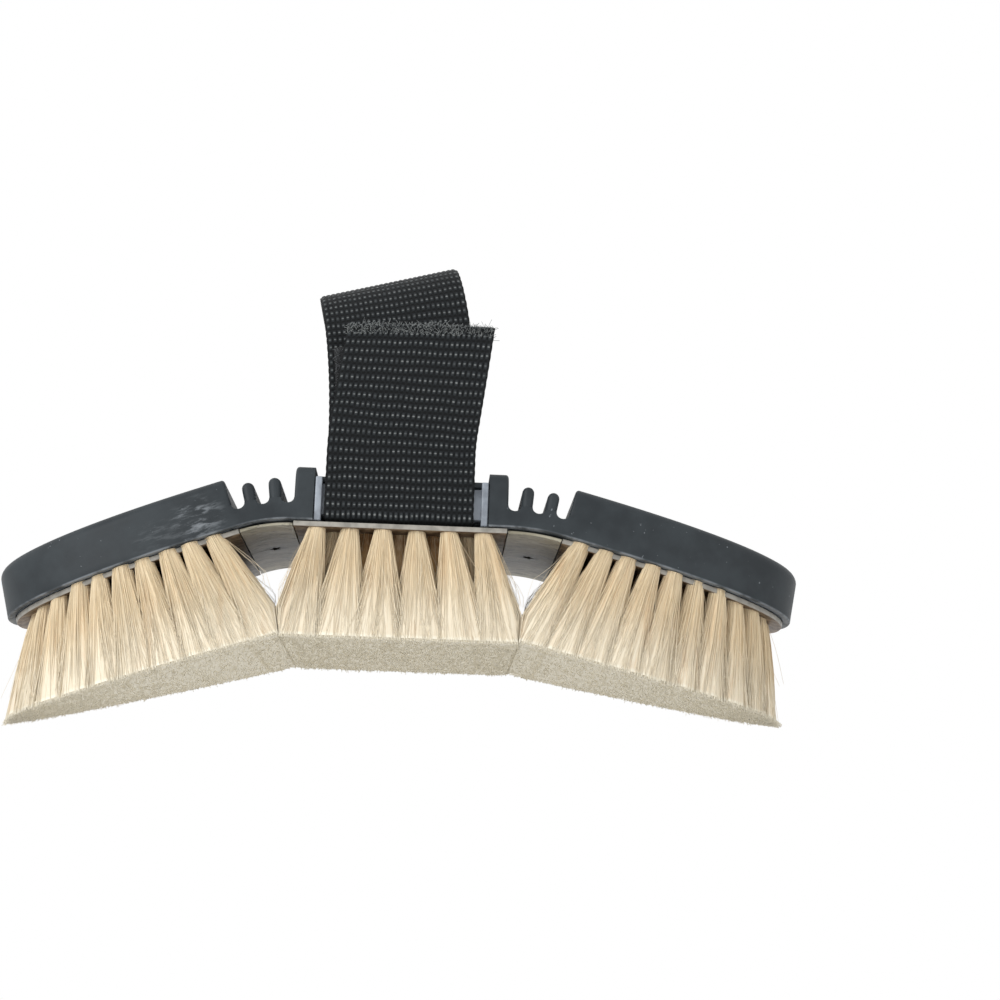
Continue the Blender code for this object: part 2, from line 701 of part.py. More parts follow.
def tab_ring(along, half_width, offset, thickness):
    """Section across the leaning tab, turned in the arch's surface to follow its run."""
    step = GAP
    lean = math.atan((tab_middle(along + step) - tab_middle(along)) / step)
    width = half_width * (1 - TAB_CUT_SHARE * math.sin(lean) ** 2) / math.cos(lean)
    back = TAB_CUT_SHARE * half_width * math.sin(lean)
    corners = ((-1, -1), (1, -1), (1, 1), (-1, 1))
    return [strap_point(along - a * back, tab_middle(along) + a * width, offset + b * thickness / 2)
            for a, b in corners]


def spread(start, stop, steps):
    return [start + (stop - start) * i / steps for i in range(steps + 1)]


def place_on_axis(item, axis):
    """Move a mesh drawn in the center block's frame into the frame of its axis."""
    item.data.transform(Matrix.Translation(-axis.location))


def strap_pieces(near_axis, far_axis, group, webbing, hook, loop):
    half = WEBBING_WIDTH / 2
    patch_half = half - PATCH_SIDE_MARGIN
    last = TAB_LENGTH - PATCH_END_MARGIN
    stations = spread(GAP / 2, TAB_LENGTH, TAB_STEPS)
    patch_stations = spread(PATCH_FOOT_MARGIN, last, TAB_STEPS)
    arch_stations = spread(GAP, ARCH_LENGTH - GAP / 2, ARCH_STEPS)
    makes = (
        ("strap_near_tab", near_axis, webbing,
         [tab_ring(s, half, TAB_OFFSET, WEBBING_THICKNESS) for s in stations]),
        ("strap_hook_patch", near_axis, hook,
         [tab_ring(s, patch_half, HOOK_OFFSET, PATCH_THICKNESS) for s in patch_stations]),
        ("strap_far_band", far_axis, webbing,
         [strap_ring(s, half, 0.0, WEBBING_THICKNESS) for s in arch_stations]),
        ("strap_loop_patch", far_axis, loop,
         [strap_ring(s, patch_half, LOOP_OFFSET, PATCH_THICKNESS) for s in patch_stations]),
    )
    for name, axis, material, rings in makes:
        mesh = mesh_from(name, lambda work, rings=rings: loft(work, rings))
        item = add_object(name, mesh, material, axis, group)
        place_on_axis(item, axis)


def underpass_line():
    """Middle line of the webbing from the near recess under the block to the far one, as (y, z, ny, nz)."""
    radius = WEBBING_BEND_RADIUS
    top = STRAP_FOOT - GAP / 2
    corner_y = STRAP_FACE - radius
    corner_z = UNDERPASS_LEVEL + radius
    line = [(STRAP_FACE, top, 1.0, 0.0)]
    for i in range(ROUND_STEPS + 1):
        turn = math.pi / 2 * i / ROUND_STEPS
        line.append((corner_y + radius * math.cos(turn), corner_z - radius * math.sin(turn),
                     math.cos(turn), -math.sin(turn)))
    near = [(-y, z, -ny, nz) for y, z, ny, nz in line]
    return near + list(reversed(line))


def strap_underpass(parent, group, material):
    half = WEBBING_WIDTH / 2
    thick = WEBBING_THICKNESS / 2
    rings = []
    for y, z, ny, nz in underpass_line():
        rings.append([Vector((STRAP_SHIFT + a * half, y + b * thick * ny, z + b * thick * nz))
                      for a, b in ((-1, -1), (1, -1), (1, 1), (-1, 1))])
    mesh = mesh_from("strap_underpass", lambda work: loft(work, rings))
    return add_object("strap_underpass", mesh, material, parent, group)


def main():
    clear_scene()
    parts = make_collection("goat_hair_grooming_brush")
    tools = make_collection("cutters")
    rubber = make_material("dark_rubber", (0.055, 0.062, 0.068), 0.62)
    plastic = make_material("translucent_plastic", (0.52, 0.53, 0.49), 0.38, transmission=0.2)
    skin = make_material("hinge_skin", (0.34, 0.31, 0.24), 0.42, transmission=0.3)
    hair = make_material("goat_hair", (0.80, 0.69, 0.50), 0.6)
    webbing = make_material("nylon_webbing", (0.012, 0.013, 0.015), 0.55)
    hook = make_material("hook_tape", (0.02, 0.02, 0.022), 0.7)
    loop = make_material("loop_tape", (0.03, 0.03, 0.032), 0.95)

    tilt, rise = rest_tilt_and_rise()
    block = add_empty("center_block", (0.0, 0.0, rise), (0.0, tilt, 0.0), None, parts)
    low = (-2 * BODY_HALF_LENGTH, -2 * BODY_HALF_WIDTH, -BRISTLE_LENGTH)
    high = (2 * BODY_HALF_LENGTH, 2 * BODY_HALF_WIDTH, 0.0)
    floor = make_tool("floor_trim", box_mesh("floor_trim", low, high), None, tools)
    center_cover(block, parts, tools, rubber)
    center_base(block, parts, tools, plastic)
    center_bristles(block, parts, tools, hair)
    strap_underpass(block, parts, webbing)
    for side in (-1, 1):
        axis = add_empty(SIDE_NAME[side] + "_flex_axis", (side * HINGE_MIDDLE, 0.0, FLEX_AXIS_HEIGHT),
                         (0.0, side * FLEX_ANGLE[side], 0.0), block, parts)
        wing_cover(side, axis, parts, rubber)
        wing_base(side, axis, parts, plastic)
        wing_bristles(side, axis, parts, tools, hair, floor)
        bellows(side, block, parts, rubber)
        web(side, block, parts, tools, skin)
    outer_face = STRAP_FACE + WEBBING_THICKNESS / 2
    near_axis = add_empty("near_peel_axis", (0.0, -outer_face, STRAP_FOOT), (0.0, 0.0, 0.0), block, parts)
    far_axis = add_empty("far_fold_axis", (0.0, outer_face, STRAP_FOOT), (0.0, 0.0, 0.0), block, parts)
    strap_pieces(near_axis, far_axis, parts, webbing, hook, loop)
    print("center tilt %.3f degrees, rise %.5f m" % (math.degrees(tilt), rise))


main()
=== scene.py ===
"""Looks of a flexible goat hair grooming brush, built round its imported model.

Metres, +Z up, +X along the brush, the near side at -Y. Each wing is drawn in its flat state and bent over its hinge.
"""

import json
import math

import bmesh
import bpy
import numpy as np
from mathutils import Matrix, Vector


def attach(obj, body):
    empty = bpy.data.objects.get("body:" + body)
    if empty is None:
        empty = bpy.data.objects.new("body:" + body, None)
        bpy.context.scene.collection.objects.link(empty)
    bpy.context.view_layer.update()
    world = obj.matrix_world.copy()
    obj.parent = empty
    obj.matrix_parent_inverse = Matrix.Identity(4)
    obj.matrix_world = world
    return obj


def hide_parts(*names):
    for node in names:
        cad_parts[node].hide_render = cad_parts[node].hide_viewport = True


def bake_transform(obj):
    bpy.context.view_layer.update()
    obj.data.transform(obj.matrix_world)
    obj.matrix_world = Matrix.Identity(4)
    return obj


bl_info = {
    "name": "Goat hair grooming brush",
    "version": (1, 0, 0),
    "blender": (4, 5, 0),
    "location": "3D View > Sidebar > Grooming Brush",
    "description": "Builds the rubber body, hair, hand strap and studio of a flexible grooming brush",
    "category": "Object",
}

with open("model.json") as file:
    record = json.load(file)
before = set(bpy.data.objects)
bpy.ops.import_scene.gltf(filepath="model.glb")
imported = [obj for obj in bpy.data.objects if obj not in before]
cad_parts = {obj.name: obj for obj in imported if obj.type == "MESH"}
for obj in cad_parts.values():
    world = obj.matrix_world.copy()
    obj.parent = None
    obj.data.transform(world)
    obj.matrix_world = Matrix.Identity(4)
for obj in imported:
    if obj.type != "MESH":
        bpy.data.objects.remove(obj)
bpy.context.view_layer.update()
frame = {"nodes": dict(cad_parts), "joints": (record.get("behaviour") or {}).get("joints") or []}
JOINTS = {joint["name"]: joint for joint in frame["joints"]}

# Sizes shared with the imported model
GAP = 0.0003
WEBBING_WIDTH = 0.0381
WEBBING_THICKNESS = 0.0016
WEBBING_BEND_RADIUS = 0.0016
STRAP_SHIFT = -0.0006
ARCH_HEIGHT = 0.0578
ARCH_ROUNDNESS = 3.4
ARCH_TILT = math.radians(15.5)
ARCH_TILT_GROWTH = 1.5
TAB_LENGTH = 0.0378
TAB_LEAN = math.radians(7.5)
TAB_LEAN_START = 0.003
TAB_LEAN_EASE = 0.01
TAB_CUT_SHARE = 0.45
PATCH_THICKNESS = 0.0008
PATCH_SIDE_MARGIN = 0.0015
PATCH_FOOT_MARGIN = 0.005
PATCH_END_MARGIN = 0.0025
BODY_HALF_WIDTH = 0.033
BODY_HALF_LENGTH = 0.10965
PLAN_ROUNDNESS = 2.3
PLATE_THICKNESS = 0.0014
PLATE_SETBACK = 0.0005
CENTER_HEIGHT = 0.0162
WING_INNER_HEIGHT = 0.0152
WING_OUTER_HEIGHT = 0.015
COVER_BOTTOM = PLATE_THICKNESS + GAP
COVER_WALL = 0.002
COVER_TOP = 0.0025
COVER_END_WALL = 0.0018
COVER_DRAFT = 0.0009
COVER_TOP_RADIUS = 0.003
CENTER_COVER_TOP = 0.0016
CENTER_LIP = 0.0137
CORE_TOP = CENTER_LIP - CENTER_COVER_TOP - GAP
CHANNEL_HALF = 0.02065
GUIDE_RIB_WIDTH = 0.0017
GUIDE_RIB_DROP = 0.0029
RECESS_HALF_LENGTH = 0.02265
RECESS_FLOOR = 0.0308
HINGE_START = 0.02765
HINGE_END = 0.04285
HINGE_MIDDLE = (HINGE_START + HINGE_END) / 2
HINGE_HALF = (HINGE_END - HINGE_START) / 2
BAND_TOP = 0.0061
FLEX_AXIS_HEIGHT = 0.0039
SLOT_WIDTH = 0.0032
SLOT_COUNT = 3
SLOT_FLOOR_RADIUS = (SLOT_WIDTH - GAP) / 2
RIB_WIDTH = 0.0028
INNER_RIB_DROP = 0.0033
OUTER_RIB_DROP = 0.0027
WEB_THICKNESS = 0.0008
WEB_SETBACK = 0.0018
STAR_OUTER_RADIUS = 0.0021
STAR_INNER_RADIUS = 0.001
STAR_POINTS = 5
STRAP_FACE = 0.0319
STRAP_FOOT = 0.0164
CHANNEL_ROOF = COVER_BOTTOM + WEBBING_THICKNESS + GAP
UNDERPASS_LEVEL = COVER_BOTTOM + WEBBING_THICKNESS / 2
LOOP_OFFSET = WEBBING_THICKNESS / 2 + GAP + PATCH_THICKNESS / 2
HOOK_OFFSET = LOOP_OFFSET + PATCH_THICKNESS + GAP
TAB_OFFSET = HOOK_OFFSET + PATCH_THICKNESS / 2 + GAP + WEBBING_THICKNESS / 2
ARCH_NEAR_FOOT = STRAP_FACE - TAB_OFFSET
ARCH_MIDDLE = (STRAP_FACE - ARCH_NEAR_FOOT) / 2
ARCH_HALF_SPAN = (STRAP_FACE + ARCH_NEAR_FOOT) / 2
BRISTLE_LENGTH = 0.0285
BRISTLE_END_LENGTH = 0.0265
TUFT_EDGE_INSET = 0.0043
ROOT_HINGE_INSET = {-1: 0.0068, 1: 0.0054}
TUFT_TOE_INSET = 0.0085
SIDE_SPLAY = math.radians(5.5)
TOE_SPLAY = {-1: math.radians(26.0), 1: math.radians(18.0)}
FLEX_ANGLE = {-1: math.radians(19.8), 1: math.radians(14.4)}
SIDE_NAME = {-1: "left", 1: "right"}
BLOCKS = ((0, "center", "center"), (-1, "left", "left_wing"), (1, "right", "right_wing"))
TUFT_HALF_WIDTH = BODY_HALF_WIDTH - TUFT_EDGE_INSET
SIDE_STRETCH = 1 + BRISTLE_LENGTH * math.tan(SIDE_SPLAY) / BODY_HALF_WIDTH

# Chalky scuffs on the near side, each as its middle, its reach, the size of its streaks and its strength
SCUFFS = (((-0.0522, -0.033, 0.0068), (0.0095, 0.004, 0.0078), 0.0032, 1.0),
          ((-0.063, -0.033, 0.006), (0.017, 0.004, 0.006), 0.0028, 0.22))

# Camera in the center block's frame, as it was fitted to the photograph
CAMERA_PLACE = (0.00913, -0.48064, -0.08939)
CAMERA_PITCH = math.radians(12.35)
CAMERA_YAW = math.radians(2.08)
CAMERA_ROLL = math.radians(1.77)
CAMERA_LENS = 63.86

# Fineness of the meshes
PLAN_STEPS = 96
TOP_COLUMNS = 12
ARCH_SAMPLES = 600
FACE_ROWS, FACE_COLUMNS = 90, 60
HOOK_ROWS, HOOK_COLUMNS = 22, 22
LOOP_COUNT = 3600
FRAY_COUNT = 2600

# Shape of the hair
TUFT_SQUARENESS = 7
OUTLINE_EASE = 0.93
FACE_SPARE = 0.00015
FACE_THICKNESS = 0.0012
FACE_ROUGHNESS = 0.00003
CORE_SPARE = 0.0004
CORE_END_SHARE = 0.02
END_STRETCH = 1.08
# Tones of the tufts: painted shade makes inner tufts and every tuft's solid inside darker than the tufts on the rim.
RIM_LIT_TONE, INNER_SHADED_TONE = 0.56, 0.22
CORE_SHADE_DROP = 0.12
LONG_SHARE, LONG_REACH = 0.03, 0.0009
LENGTH_DROP = 0.0004
STRAYS_AT_HINGE, STRAYS_AT_TOE, STRAYS_ON_RIM, STRAYS_INSIDE = 16, 2, 9, 1

# Radii of the fibres
STRAY_RADIUS = 0.00005
HOOK_RADIUS = 0.00009
LOOP_RADIUS = 0.00005
FRAY_RADIUS = 0.00006

# Lamps, each as its name, place, width and height; all of them aim at one place
LAMPS = (("key", (-0.52, -0.5, 0.3), 0.45, 0.45), ("fill", (0.75, -0.55, 0.35), 0.5, 0.5),
         ("low", (0.0, -0.8, -0.02), 1.6, 0.14))
LAMP_AIM = Vector((0.0, 0.0, 0.04))

# Closure tapes: a hook's points up from its backing and on along the tape
TAPE_BACKING = 0.0003
HOOK_RISE = np.array([0.0, 0.14, 0.27, 0.36, 0.33, 0.2]) * 0.001
HOOK_LEAN = np.array([0.0, 0.0, 0.04, 0.2, 0.36, 0.4]) * 0.001


def block_matrix():
    """Place of the center block's own frame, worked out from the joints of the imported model."""
    axis = Vector(JOINTS["near_tab_peel"]["axis"])
    left = Vector(JOINTS["left_wing_flex"]["pos_m"])
    right = Vector(JOINTS["right_wing_flex"]["pos_m"])
    turn = Matrix.Rotation(math.atan2(-axis.z, axis.x), 4, "Y")
    middle = (left + right) / 2 - turn @ Vector((0.0, 0.0, FLEX_AXIS_HEIGHT))
    return Matrix.Translation(middle) @ turn


BLOCK = block_matrix()


# Mesh helpers

def placed(points, matrix):
    """Points of an array moved by a matrix."""
    turn = np.array(matrix.to_3x3())
    return np.asarray(points) @ turn.T + np.array(matrix.translation)


def bent(side, points):
    """Flat state points of one side, x outward, bent over its hinge into the center block's frame."""
    x, y, z = np.asarray(points, float).T
    angle = FLEX_ANGLE[side]
    radius = HINGE_HALF / math.tan(angle / 2)
    turn = angle * np.clip((x - HINGE_START) / (HINGE_END - HINGE_START), 0.0, 1.0)
    before = np.minimum(x - HINGE_START, 0.0)
    past = np.maximum(x - HINGE_END, 0.0)
    reach = radius + z - FLEX_AXIS_HEIGHT
    out_x = HINGE_START + before + reach * np.sin(turn) + past * np.cos(turn)
    out_z = FLEX_AXIS_HEIGHT - radius + reach * np.cos(turn) - past * np.sin(turn)
    return np.stack([side * out_x, y, out_z], axis=1)


def mesh_of(name, points, faces):
    """Mesh from an array of points and an array of faces that all have the same number of corners."""
    mesh = bpy.data.meshes.new(name)
    points = np.asarray(points, np.float32)
    faces = np.asarray(faces, np.int32)
    mesh.vertices.add(len(points))
    mesh.vertices.foreach_set("co", points.ravel())
    mesh.loops.add(faces.size)
    mesh.loops.foreach_set("vertex_index", faces.ravel())
    mesh.polygons.add(len(faces))
    mesh.polygons.foreach_set("loop_start", np.arange(0, faces.size, faces.shape[1], dtype=np.int32))
    mesh.update(calc_edges=True)
    mesh.validate()
    return mesh


def lofted(rings):
    """Points and quads of a skin through closed rings of equal count, without its ends."""
    rings = np.asarray(rings, float)
    rows, count = rings.shape[:2]
    index = np.arange(rows * count).reshape(rows, count)
    after = np.roll(index, -1, axis=1)
    quads = np.stack([index[:-1], after[:-1], after[1:], index[1:]], axis=-1).reshape(-1, 4)
    return rings.reshape(-1, 3), quads


def outward(mesh):
    """The mesh with all its faces turned outward."""
    work = bmesh.new()
    work.from_mesh(mesh)
    bmesh.ops.recalc_face_normals(work, faces=work.faces)
    work.to_mesh(mesh)
    work.free()
    return mesh


def strip_mesh(name, rings, columns):
    """Closed mesh of a flat strip, from rings that run over it, round its edge and back underneath."""
    rows, count = rings.shape[:2]
    edge = count // 2 - columns - 1
    over = np.arange(columns)
    under = 2 * columns + 1 + edge - over
    cap = np.stack([over, over + 1, under - 1, under], axis=1)
    if edge:
        cap = np.concatenate([cap, [[columns, columns + 1, columns + 2, columns + 3],
                                    [0, count - 3, count - 2, count - 1]]])
    points, quads = lofted(rings)
    return outward(mesh_of(name, points, np.concatenate([quads, cap, cap + (rows - 1) * count])))


def skin_mesh(name, rings):
    """Closed mesh through rings, with both ends capped and points that fall together merged."""
    mesh = mesh_of(name, *lofted(rings))
    work = bmesh.new()
    work.from_mesh(mesh)
    corners, count = list(work.verts), len(rings[0])
    work.faces.new(corners[:count][::-1])
    if np.ptp(np.asarray(rings[-1])[:, 1]) > 1e-7:
        work.faces.new(corners[-count:])
    bmesh.ops.remove_doubles(work, verts=work.verts, dist=2e-6)
    bmesh.ops.dissolve_degenerate(work, edges=work.edges, dist=1e-7)
    bmesh.ops.recalc_face_normals(work, faces=work.faces)
    work.to_mesh(mesh)
    work.free()
    return mesh


def box_mesh(name, boxes, edge):
    """One mesh of several boxes, each a pair of corners, with rounded edges."""
    work = bmesh.new()
    for low, high in boxes:
        made = bmesh.ops.create_cube(work, size=1.0)["verts"]
        bmesh.ops.scale(work, vec=Vector(high) - Vector(low), verts=made)
        bmesh.ops.translate(work, vec=(Vector(high) + Vector(low)) / 2, verts=made)
    bmesh.ops.bevel(work, geom=work.edges[:], offset=edge, segments=3, profile=0.5,
                    affect="EDGES", clamp_overlap=True)
    mesh = bpy.data.meshes.new(name)
    work.to_mesh(mesh)
    work.free()
    return mesh


def cut_away(mesh, cutters):
    """The mesh with the cutters' space taken out of it."""
    body = bpy.data.objects.new("being_cut", mesh)
    bpy.context.scene.collection.objects.link(body)
    tools = []
    for cutter in cutters:
        tool = bpy.data.objects.new("cutter", cutter)
        bpy.context.scene.collection.objects.link(tool)
        modifier = body.modifiers.new("cut", "BOOLEAN")
        modifier.object = tool
        modifier.operation = "DIFFERENCE"
        modifier.solver = "EXACT"
        tools.append(tool)
    bpy.context.view_layer.update()
    evaluated = body.evaluated_get(bpy.context.evaluated_depsgraph_get())
    made = bpy.data.meshes.new_from_object(evaluated)
    for item in [body] + tools:
        bpy.data.objects.remove(item, do_unlink=True)
    return made


def coordinates(mesh):
    """Points of a mesh as an array."""
    points = np.zeros(len(mesh.vertices) * 3, np.float32)
    mesh.vertices.foreach_get("co", points)
    return points.reshape(-1, 3).astype(float)


def remember_place(mesh, points, name="made_place"):
    """Keep each point's place at rest, so that a finish stays where it is when the mesh bends."""
    kept = mesh.attributes.new(name, "FLOAT_VECTOR", "POINT")
    kept.data.foreach_set("vector", np.asarray(points, np.float32).ravel())


def remember_value(mesh, name, values):
    """Keep one value for each point, for a finish."""
    kept = mesh.attributes.new(name, "FLOAT", "POINT")
    kept.data.foreach_set("value", np.asarray(values, np.float32).ravel())


def move_points(mesh, points):
    """Give the points of a mesh new places."""
    mesh.vertices.foreach_set("co", np.asarray(points, np.float32).ravel())
    mesh.update()


def set_on_block(mesh):
    """Move a mesh from the center block's frame into the world."""
    move_points(mesh, placed(coordinates(mesh), BLOCK))


def add_piece(name, mesh, material, sharp=35.0):
    """Object for a finished mesh, with soft shading where its faces meet at less than the sharp angle."""
    mesh.name = name
    mesh.materials.clear()
    mesh.materials.append(material)
    mesh.shade_smooth()
    if sharp:
        mesh.set_sharp_from_angle(angle=math.radians(sharp))
    piece = bpy.data.objects.new(name, mesh)
    bpy.context.scene.collection.objects.link(piece)
    return piece


def tubes(paths, radii, turns, sides=3):
    """Points and quads of one thin tube along each path. Paths are (tube, station, xyz), radii (tube, station)."""
    paths = np.asarray(paths, float)
    count, stations = paths.shape[:2]
    along = np.gradient(paths, axis=1)
    along /= np.maximum(np.linalg.norm(along, axis=2, keepdims=True), 1e-9)
    guide = np.stack([np.cos(turns), np.sin(turns), np.zeros(count)], axis=1)[:, None, :]
    guide = np.broadcast_to(guide, paths.shape)
    across = guide - along * np.sum(guide * along, axis=2, keepdims=True)
    short = np.linalg.norm(across, axis=2, keepdims=True) < 0.05
    across = np.where(short, np.cross(along, np.array([0.0, 0.0, 1.0])), across)
    across /= np.maximum(np.linalg.norm(across, axis=2, keepdims=True), 1e-9)
    other = np.cross(along, across)
    angle = 2 * np.pi * np.arange(sides) / sides
    rim = (across[:, :, None, :] * np.cos(angle)[None, None, :, None]
           + other[:, :, None, :] * np.sin(angle)[None, None, :, None])
    points = paths[:, :, None, :] + rim * np.asarray(radii)[:, :, None, None]
    index = np.arange(count * stations * sides).reshape(count, stations, sides)
    after = np.roll(index, -1, axis=2)
    quads = np.stack([index[:, :-1], after[:, :-1], after[:, 1:], index[:, 1:]], axis=-1)
    return points.reshape(-1, 3), quads.reshape(-1, 4)


# Material helpers

def connect(tree, node, inputs):
    """Give inputs of a node, by name or number, a value or a socket to link."""
    for key, value in inputs.items():
        if isinstance(value, bpy.types.NodeSocket):
            tree.links.new(value, node.inputs[key])
        else:
            node.inputs[key].default_value = value


def add_node(tree, kind, inputs=None, **settings):
    """Node of a kind, with its settings as attributes and its inputs connected."""
    made = tree.nodes.new(kind)
    for key, value in settings.items():
        setattr(made, key, value)
    connect(tree, made, inputs or {})
    return made


def maths(tree, operation, first, second=0.0, third=0.0, **settings):
    made = add_node(tree, "ShaderNodeMath", {0: first, 1: second, 2: third}, operation=operation, **settings)
    return made.outputs[0]


def vector_maths(tree, operation, first, second=(0.0, 0.0, 0.0), output="Vector"):
    made = add_node(tree, "ShaderNodeVectorMath", {0: first, 1: second}, operation=operation)
    return made.outputs[output]


def mixed(tree, factor, first, second):
    """Colour between two by a factor, each a socket or three values."""
    first, second = (item if isinstance(item, bpy.types.NodeSocket) else (*item, 1.0) for item in (first, second))
    return add_node(tree, "ShaderNodeMix", {0: factor, 6: first, 7: second}, data_type="RGBA").outputs[2]


def ranged(tree, value, low, high, out_low=0.0, out_high=1.0, kind="SMOOTHSTEP"):
    made = add_node(tree, "ShaderNodeMapRange",
                    {"Value": value, "From Min": low, "From Max": high, "To Min": out_low, "To Max": out_high},
                    interpolation_type=kind)
    return made.outputs[0]


def noise(tree, place, scale, detail=3.0, roughness=0.5):
    made = add_node(tree, "ShaderNodeTexNoise",
                    {"Vector": place, "Scale": scale, "Detail": detail, "Roughness": roughness})
    return made.outputs["Fac"]


def attribute(tree, name, output="Fac"):
    made = add_node(tree, "ShaderNodeAttribute", attribute_name=name, attribute_type="GEOMETRY")
    return made.outputs[output]


def new_group(name, inputs):
    """Shader node group and its inputs, each a float where its default is one, or else a vector."""
    group = bpy.data.node_groups.new(name, "ShaderNodeTree")
    for label, value in inputs.items():
        kind = "NodeSocketFloat" if isinstance(value, float) else "NodeSocketVector"
        socket = group.interface.new_socket(label, in_out="INPUT", socket_type=kind)
        if value is not None:
            socket.default_value = value
    return group, group.nodes.new("NodeGroupInput").outputs


def with_outputs(group, results):
    """The group with its results, all floats, as its outputs."""
    for label in results:
        group.interface.new_socket(label, in_out="OUTPUT", socket_type="NodeSocketFloat")
    connect(group, group.nodes.new("NodeGroupOutput"), results)
    return group


def use_group(tree, name, build, inputs):
    """Outputs of the group of that name, which is built the first time that it is asked for."""
    group = bpy.data.node_groups.get(name) or build(name)
    return add_node(tree, "ShaderNodeGroup", inputs, node_tree=group).outputs


def grain_group(name):
    """Fine moulded grain and broad mottling."""
    group, given = new_group(name, {"Place": None, "Grain Size": 0.0005, "Mottle Size": 0.01})
    fine = maths(group, "DIVIDE", 1.0, given["Grain Size"])
    broad = maths(group, "DIVIDE", 1.0, given["Mottle Size"])
    return with_outputs(group, {"Grain": noise(group, given["Place"], fine, 4.0, 0.6),
                                "Mottle": noise(group, given["Place"], broad, 3.0, 0.55)})


def patch_group(name):
    """Soft edged patch round a place, broken up into streaks."""
    group, given = new_group(name, {"Place": None, "Middle": None, "Reach": (0.01, 0.01, 0.01), "Streak Size": 0.002})
    away = vector_maths(group, "SUBTRACT", given["Place"], given["Middle"])
    shrunk = vector_maths(group, "DIVIDE", away, given["Reach"])
    near = ranged(group, vector_maths(group, "LENGTH", shrunk, output="Value"), 1.0, 0.2)
    slanted = add_node(group, "ShaderNodeMapping", {"Vector": given["Place"], "Rotation": (0.0, 0.9, 0.0),
                                                    "Scale": (0.45, 1.0, 1.8)})
    broken = noise(group, slanted.outputs[0], maths(group, "DIVIDE", 1.0, given["Streak Size"]), 5.0, 0.68)
    return with_outputs(group, {"Patch": maths(group, "MULTIPLY", near, ranged(group, broken, 0.47, 0.66))})


def weave_group(name):
    """Rows of crossing cords, from a place in metres across and along the webbing."""
    group, given = new_group(name, {"Place": None, "Cord Pitch": 0.00136, "Row Pitch": 0.0022})
    split = add_node(group, "ShaderNodeSeparateXYZ", {0: given["Place"]}).outputs
    slack = maths(group, "SUBTRACT", noise(group, given["Place"], 130.0, 2.0, 0.5), 0.5)
    turns, ridges, dips = [], [], []
    for axis, pitch, give in (("X", "Cord Pitch", 0.35), ("Y", "Row Pitch", -0.5)):
        turn = maths(group, "MULTIPLY_ADD", slack, give, maths(group, "DIVIDE", split[axis], given[pitch]))
        ridge = maths(group, "ABSOLUTE", maths(group, "SINE", maths(group, "MULTIPLY", turn, math.pi)))
        turns.append(turn)
        ridges.append(ridge)
        dips.append(maths(group, "SQRT", maths(group, "SUBTRACT", 1.0, maths(group, "MULTIPLY", ridge, ridge))))
    between = maths(group, "MULTIPLY", maths(group, "MULTIPLY", *dips), 0.6)
    # Painted highlight: a glint where a cord's crown meets its row, broken up by noise.
    shine = maths(group, "MULTIPLY", ridges[0], maths(group, "POWER", ridges[1], 8.0))
    uneven = ranged(group, noise(group, given["Place"], 620.0, 2.0, 0.5), 0.32, 0.66, 0.12, 1.0)
    twist = maths(group, "ADD", maths(group, "MULTIPLY", turns[0], 7.0), maths(group, "MULTIPLY", turns[1], 5.0))
    strand = maths(group, "SINE", maths(group, "MULTIPLY", twist, 2 * math.pi))
    rough = noise(group, given["Place"], 5200.0, 2.0, 0.6)
    # Crown and the glint are masks for painted light on the cords; Groove is the mask for painted shade between them.
    return with_outputs(group, {
        "Crown": maths(group, "MAXIMUM", maths(group, "MULTIPLY", *ridges), between),
        "Groove": ranged(group, maths(group, "MINIMUM", *ridges), 0.5, 0.0),
        "Thread": maths(group, "MULTIPLY_ADD", strand, 0.35, rough),
        "Glint": maths(group, "MULTIPLY", ranged(group, shine, 0.62, 0.93), uneven),
    })


def streak_group(name):
    """Fine streaks that run down the hair, broad changes from tuft to tuft, and its roots, tips and cut ends."""
    group, given = new_group(name, {"Place": None, "Tone": 0.5, "Along": 0.5})
    drawn = vector_maths(group, "MULTIPLY", given["Place"], (1.0, 1.0, 0.1))
    fine = maths(group, "SUBTRACT", noise(group, drawn, 3400.0, 3.0, 0.65), 0.5)
    evened = ranged(group, given["Along"], 0.35, 0.7, 0.0, 0.75)
    # Toward the tips the tones even out, so the painted shade that they carry fades there.
    tone = add_node(group, "ShaderNodeMix", {0: evened, 2: given["Tone"], 3: 0.55}, data_type="FLOAT").outputs[0]
    return with_outputs(group, {
        "Fine": maths(group, "MULTIPLY_ADD", fine, 0.6, tone),
        "Broad": noise(group, drawn, 300.0, 4.0, 0.65),
        # Root: the mask of the painted shade toward the roots.
        "Root": ranged(group, given["Along"], 0.35, 0.04),
        # Tip: the mask of the painted highlight toward the tips.
        "Tip": ranged(group, given["Along"], 0.25, 0.9),
        "Cut": ranged(group, given["Along"], 0.96, 0.99),
    })


# Materials

def finish_of(name, build, *values):
    """The material of that name, built the first time that it is asked for."""
    return bpy.data.materials.get(name) or build(name, *values)


def new_material(name):
    material = bpy.data.materials.new(name)
    material.use_nodes = True
    return material, material.node_tree


def surfaced(material, inputs, height=None, distance=0.0, strength=0.0):
    """The material with its shader's inputs set, and with fine relief if it is given a height."""
    tree = material.node_tree
    connect(tree, tree.nodes["Principled BSDF"], inputs)
    if height is not None:
        relief = add_node(tree, "ShaderNodeBump", {"Height": height, "Distance": distance, "Strength": strength})
        connect(tree, tree.nodes["Principled BSDF"], {"Normal": relief.outputs[0]})
    return material


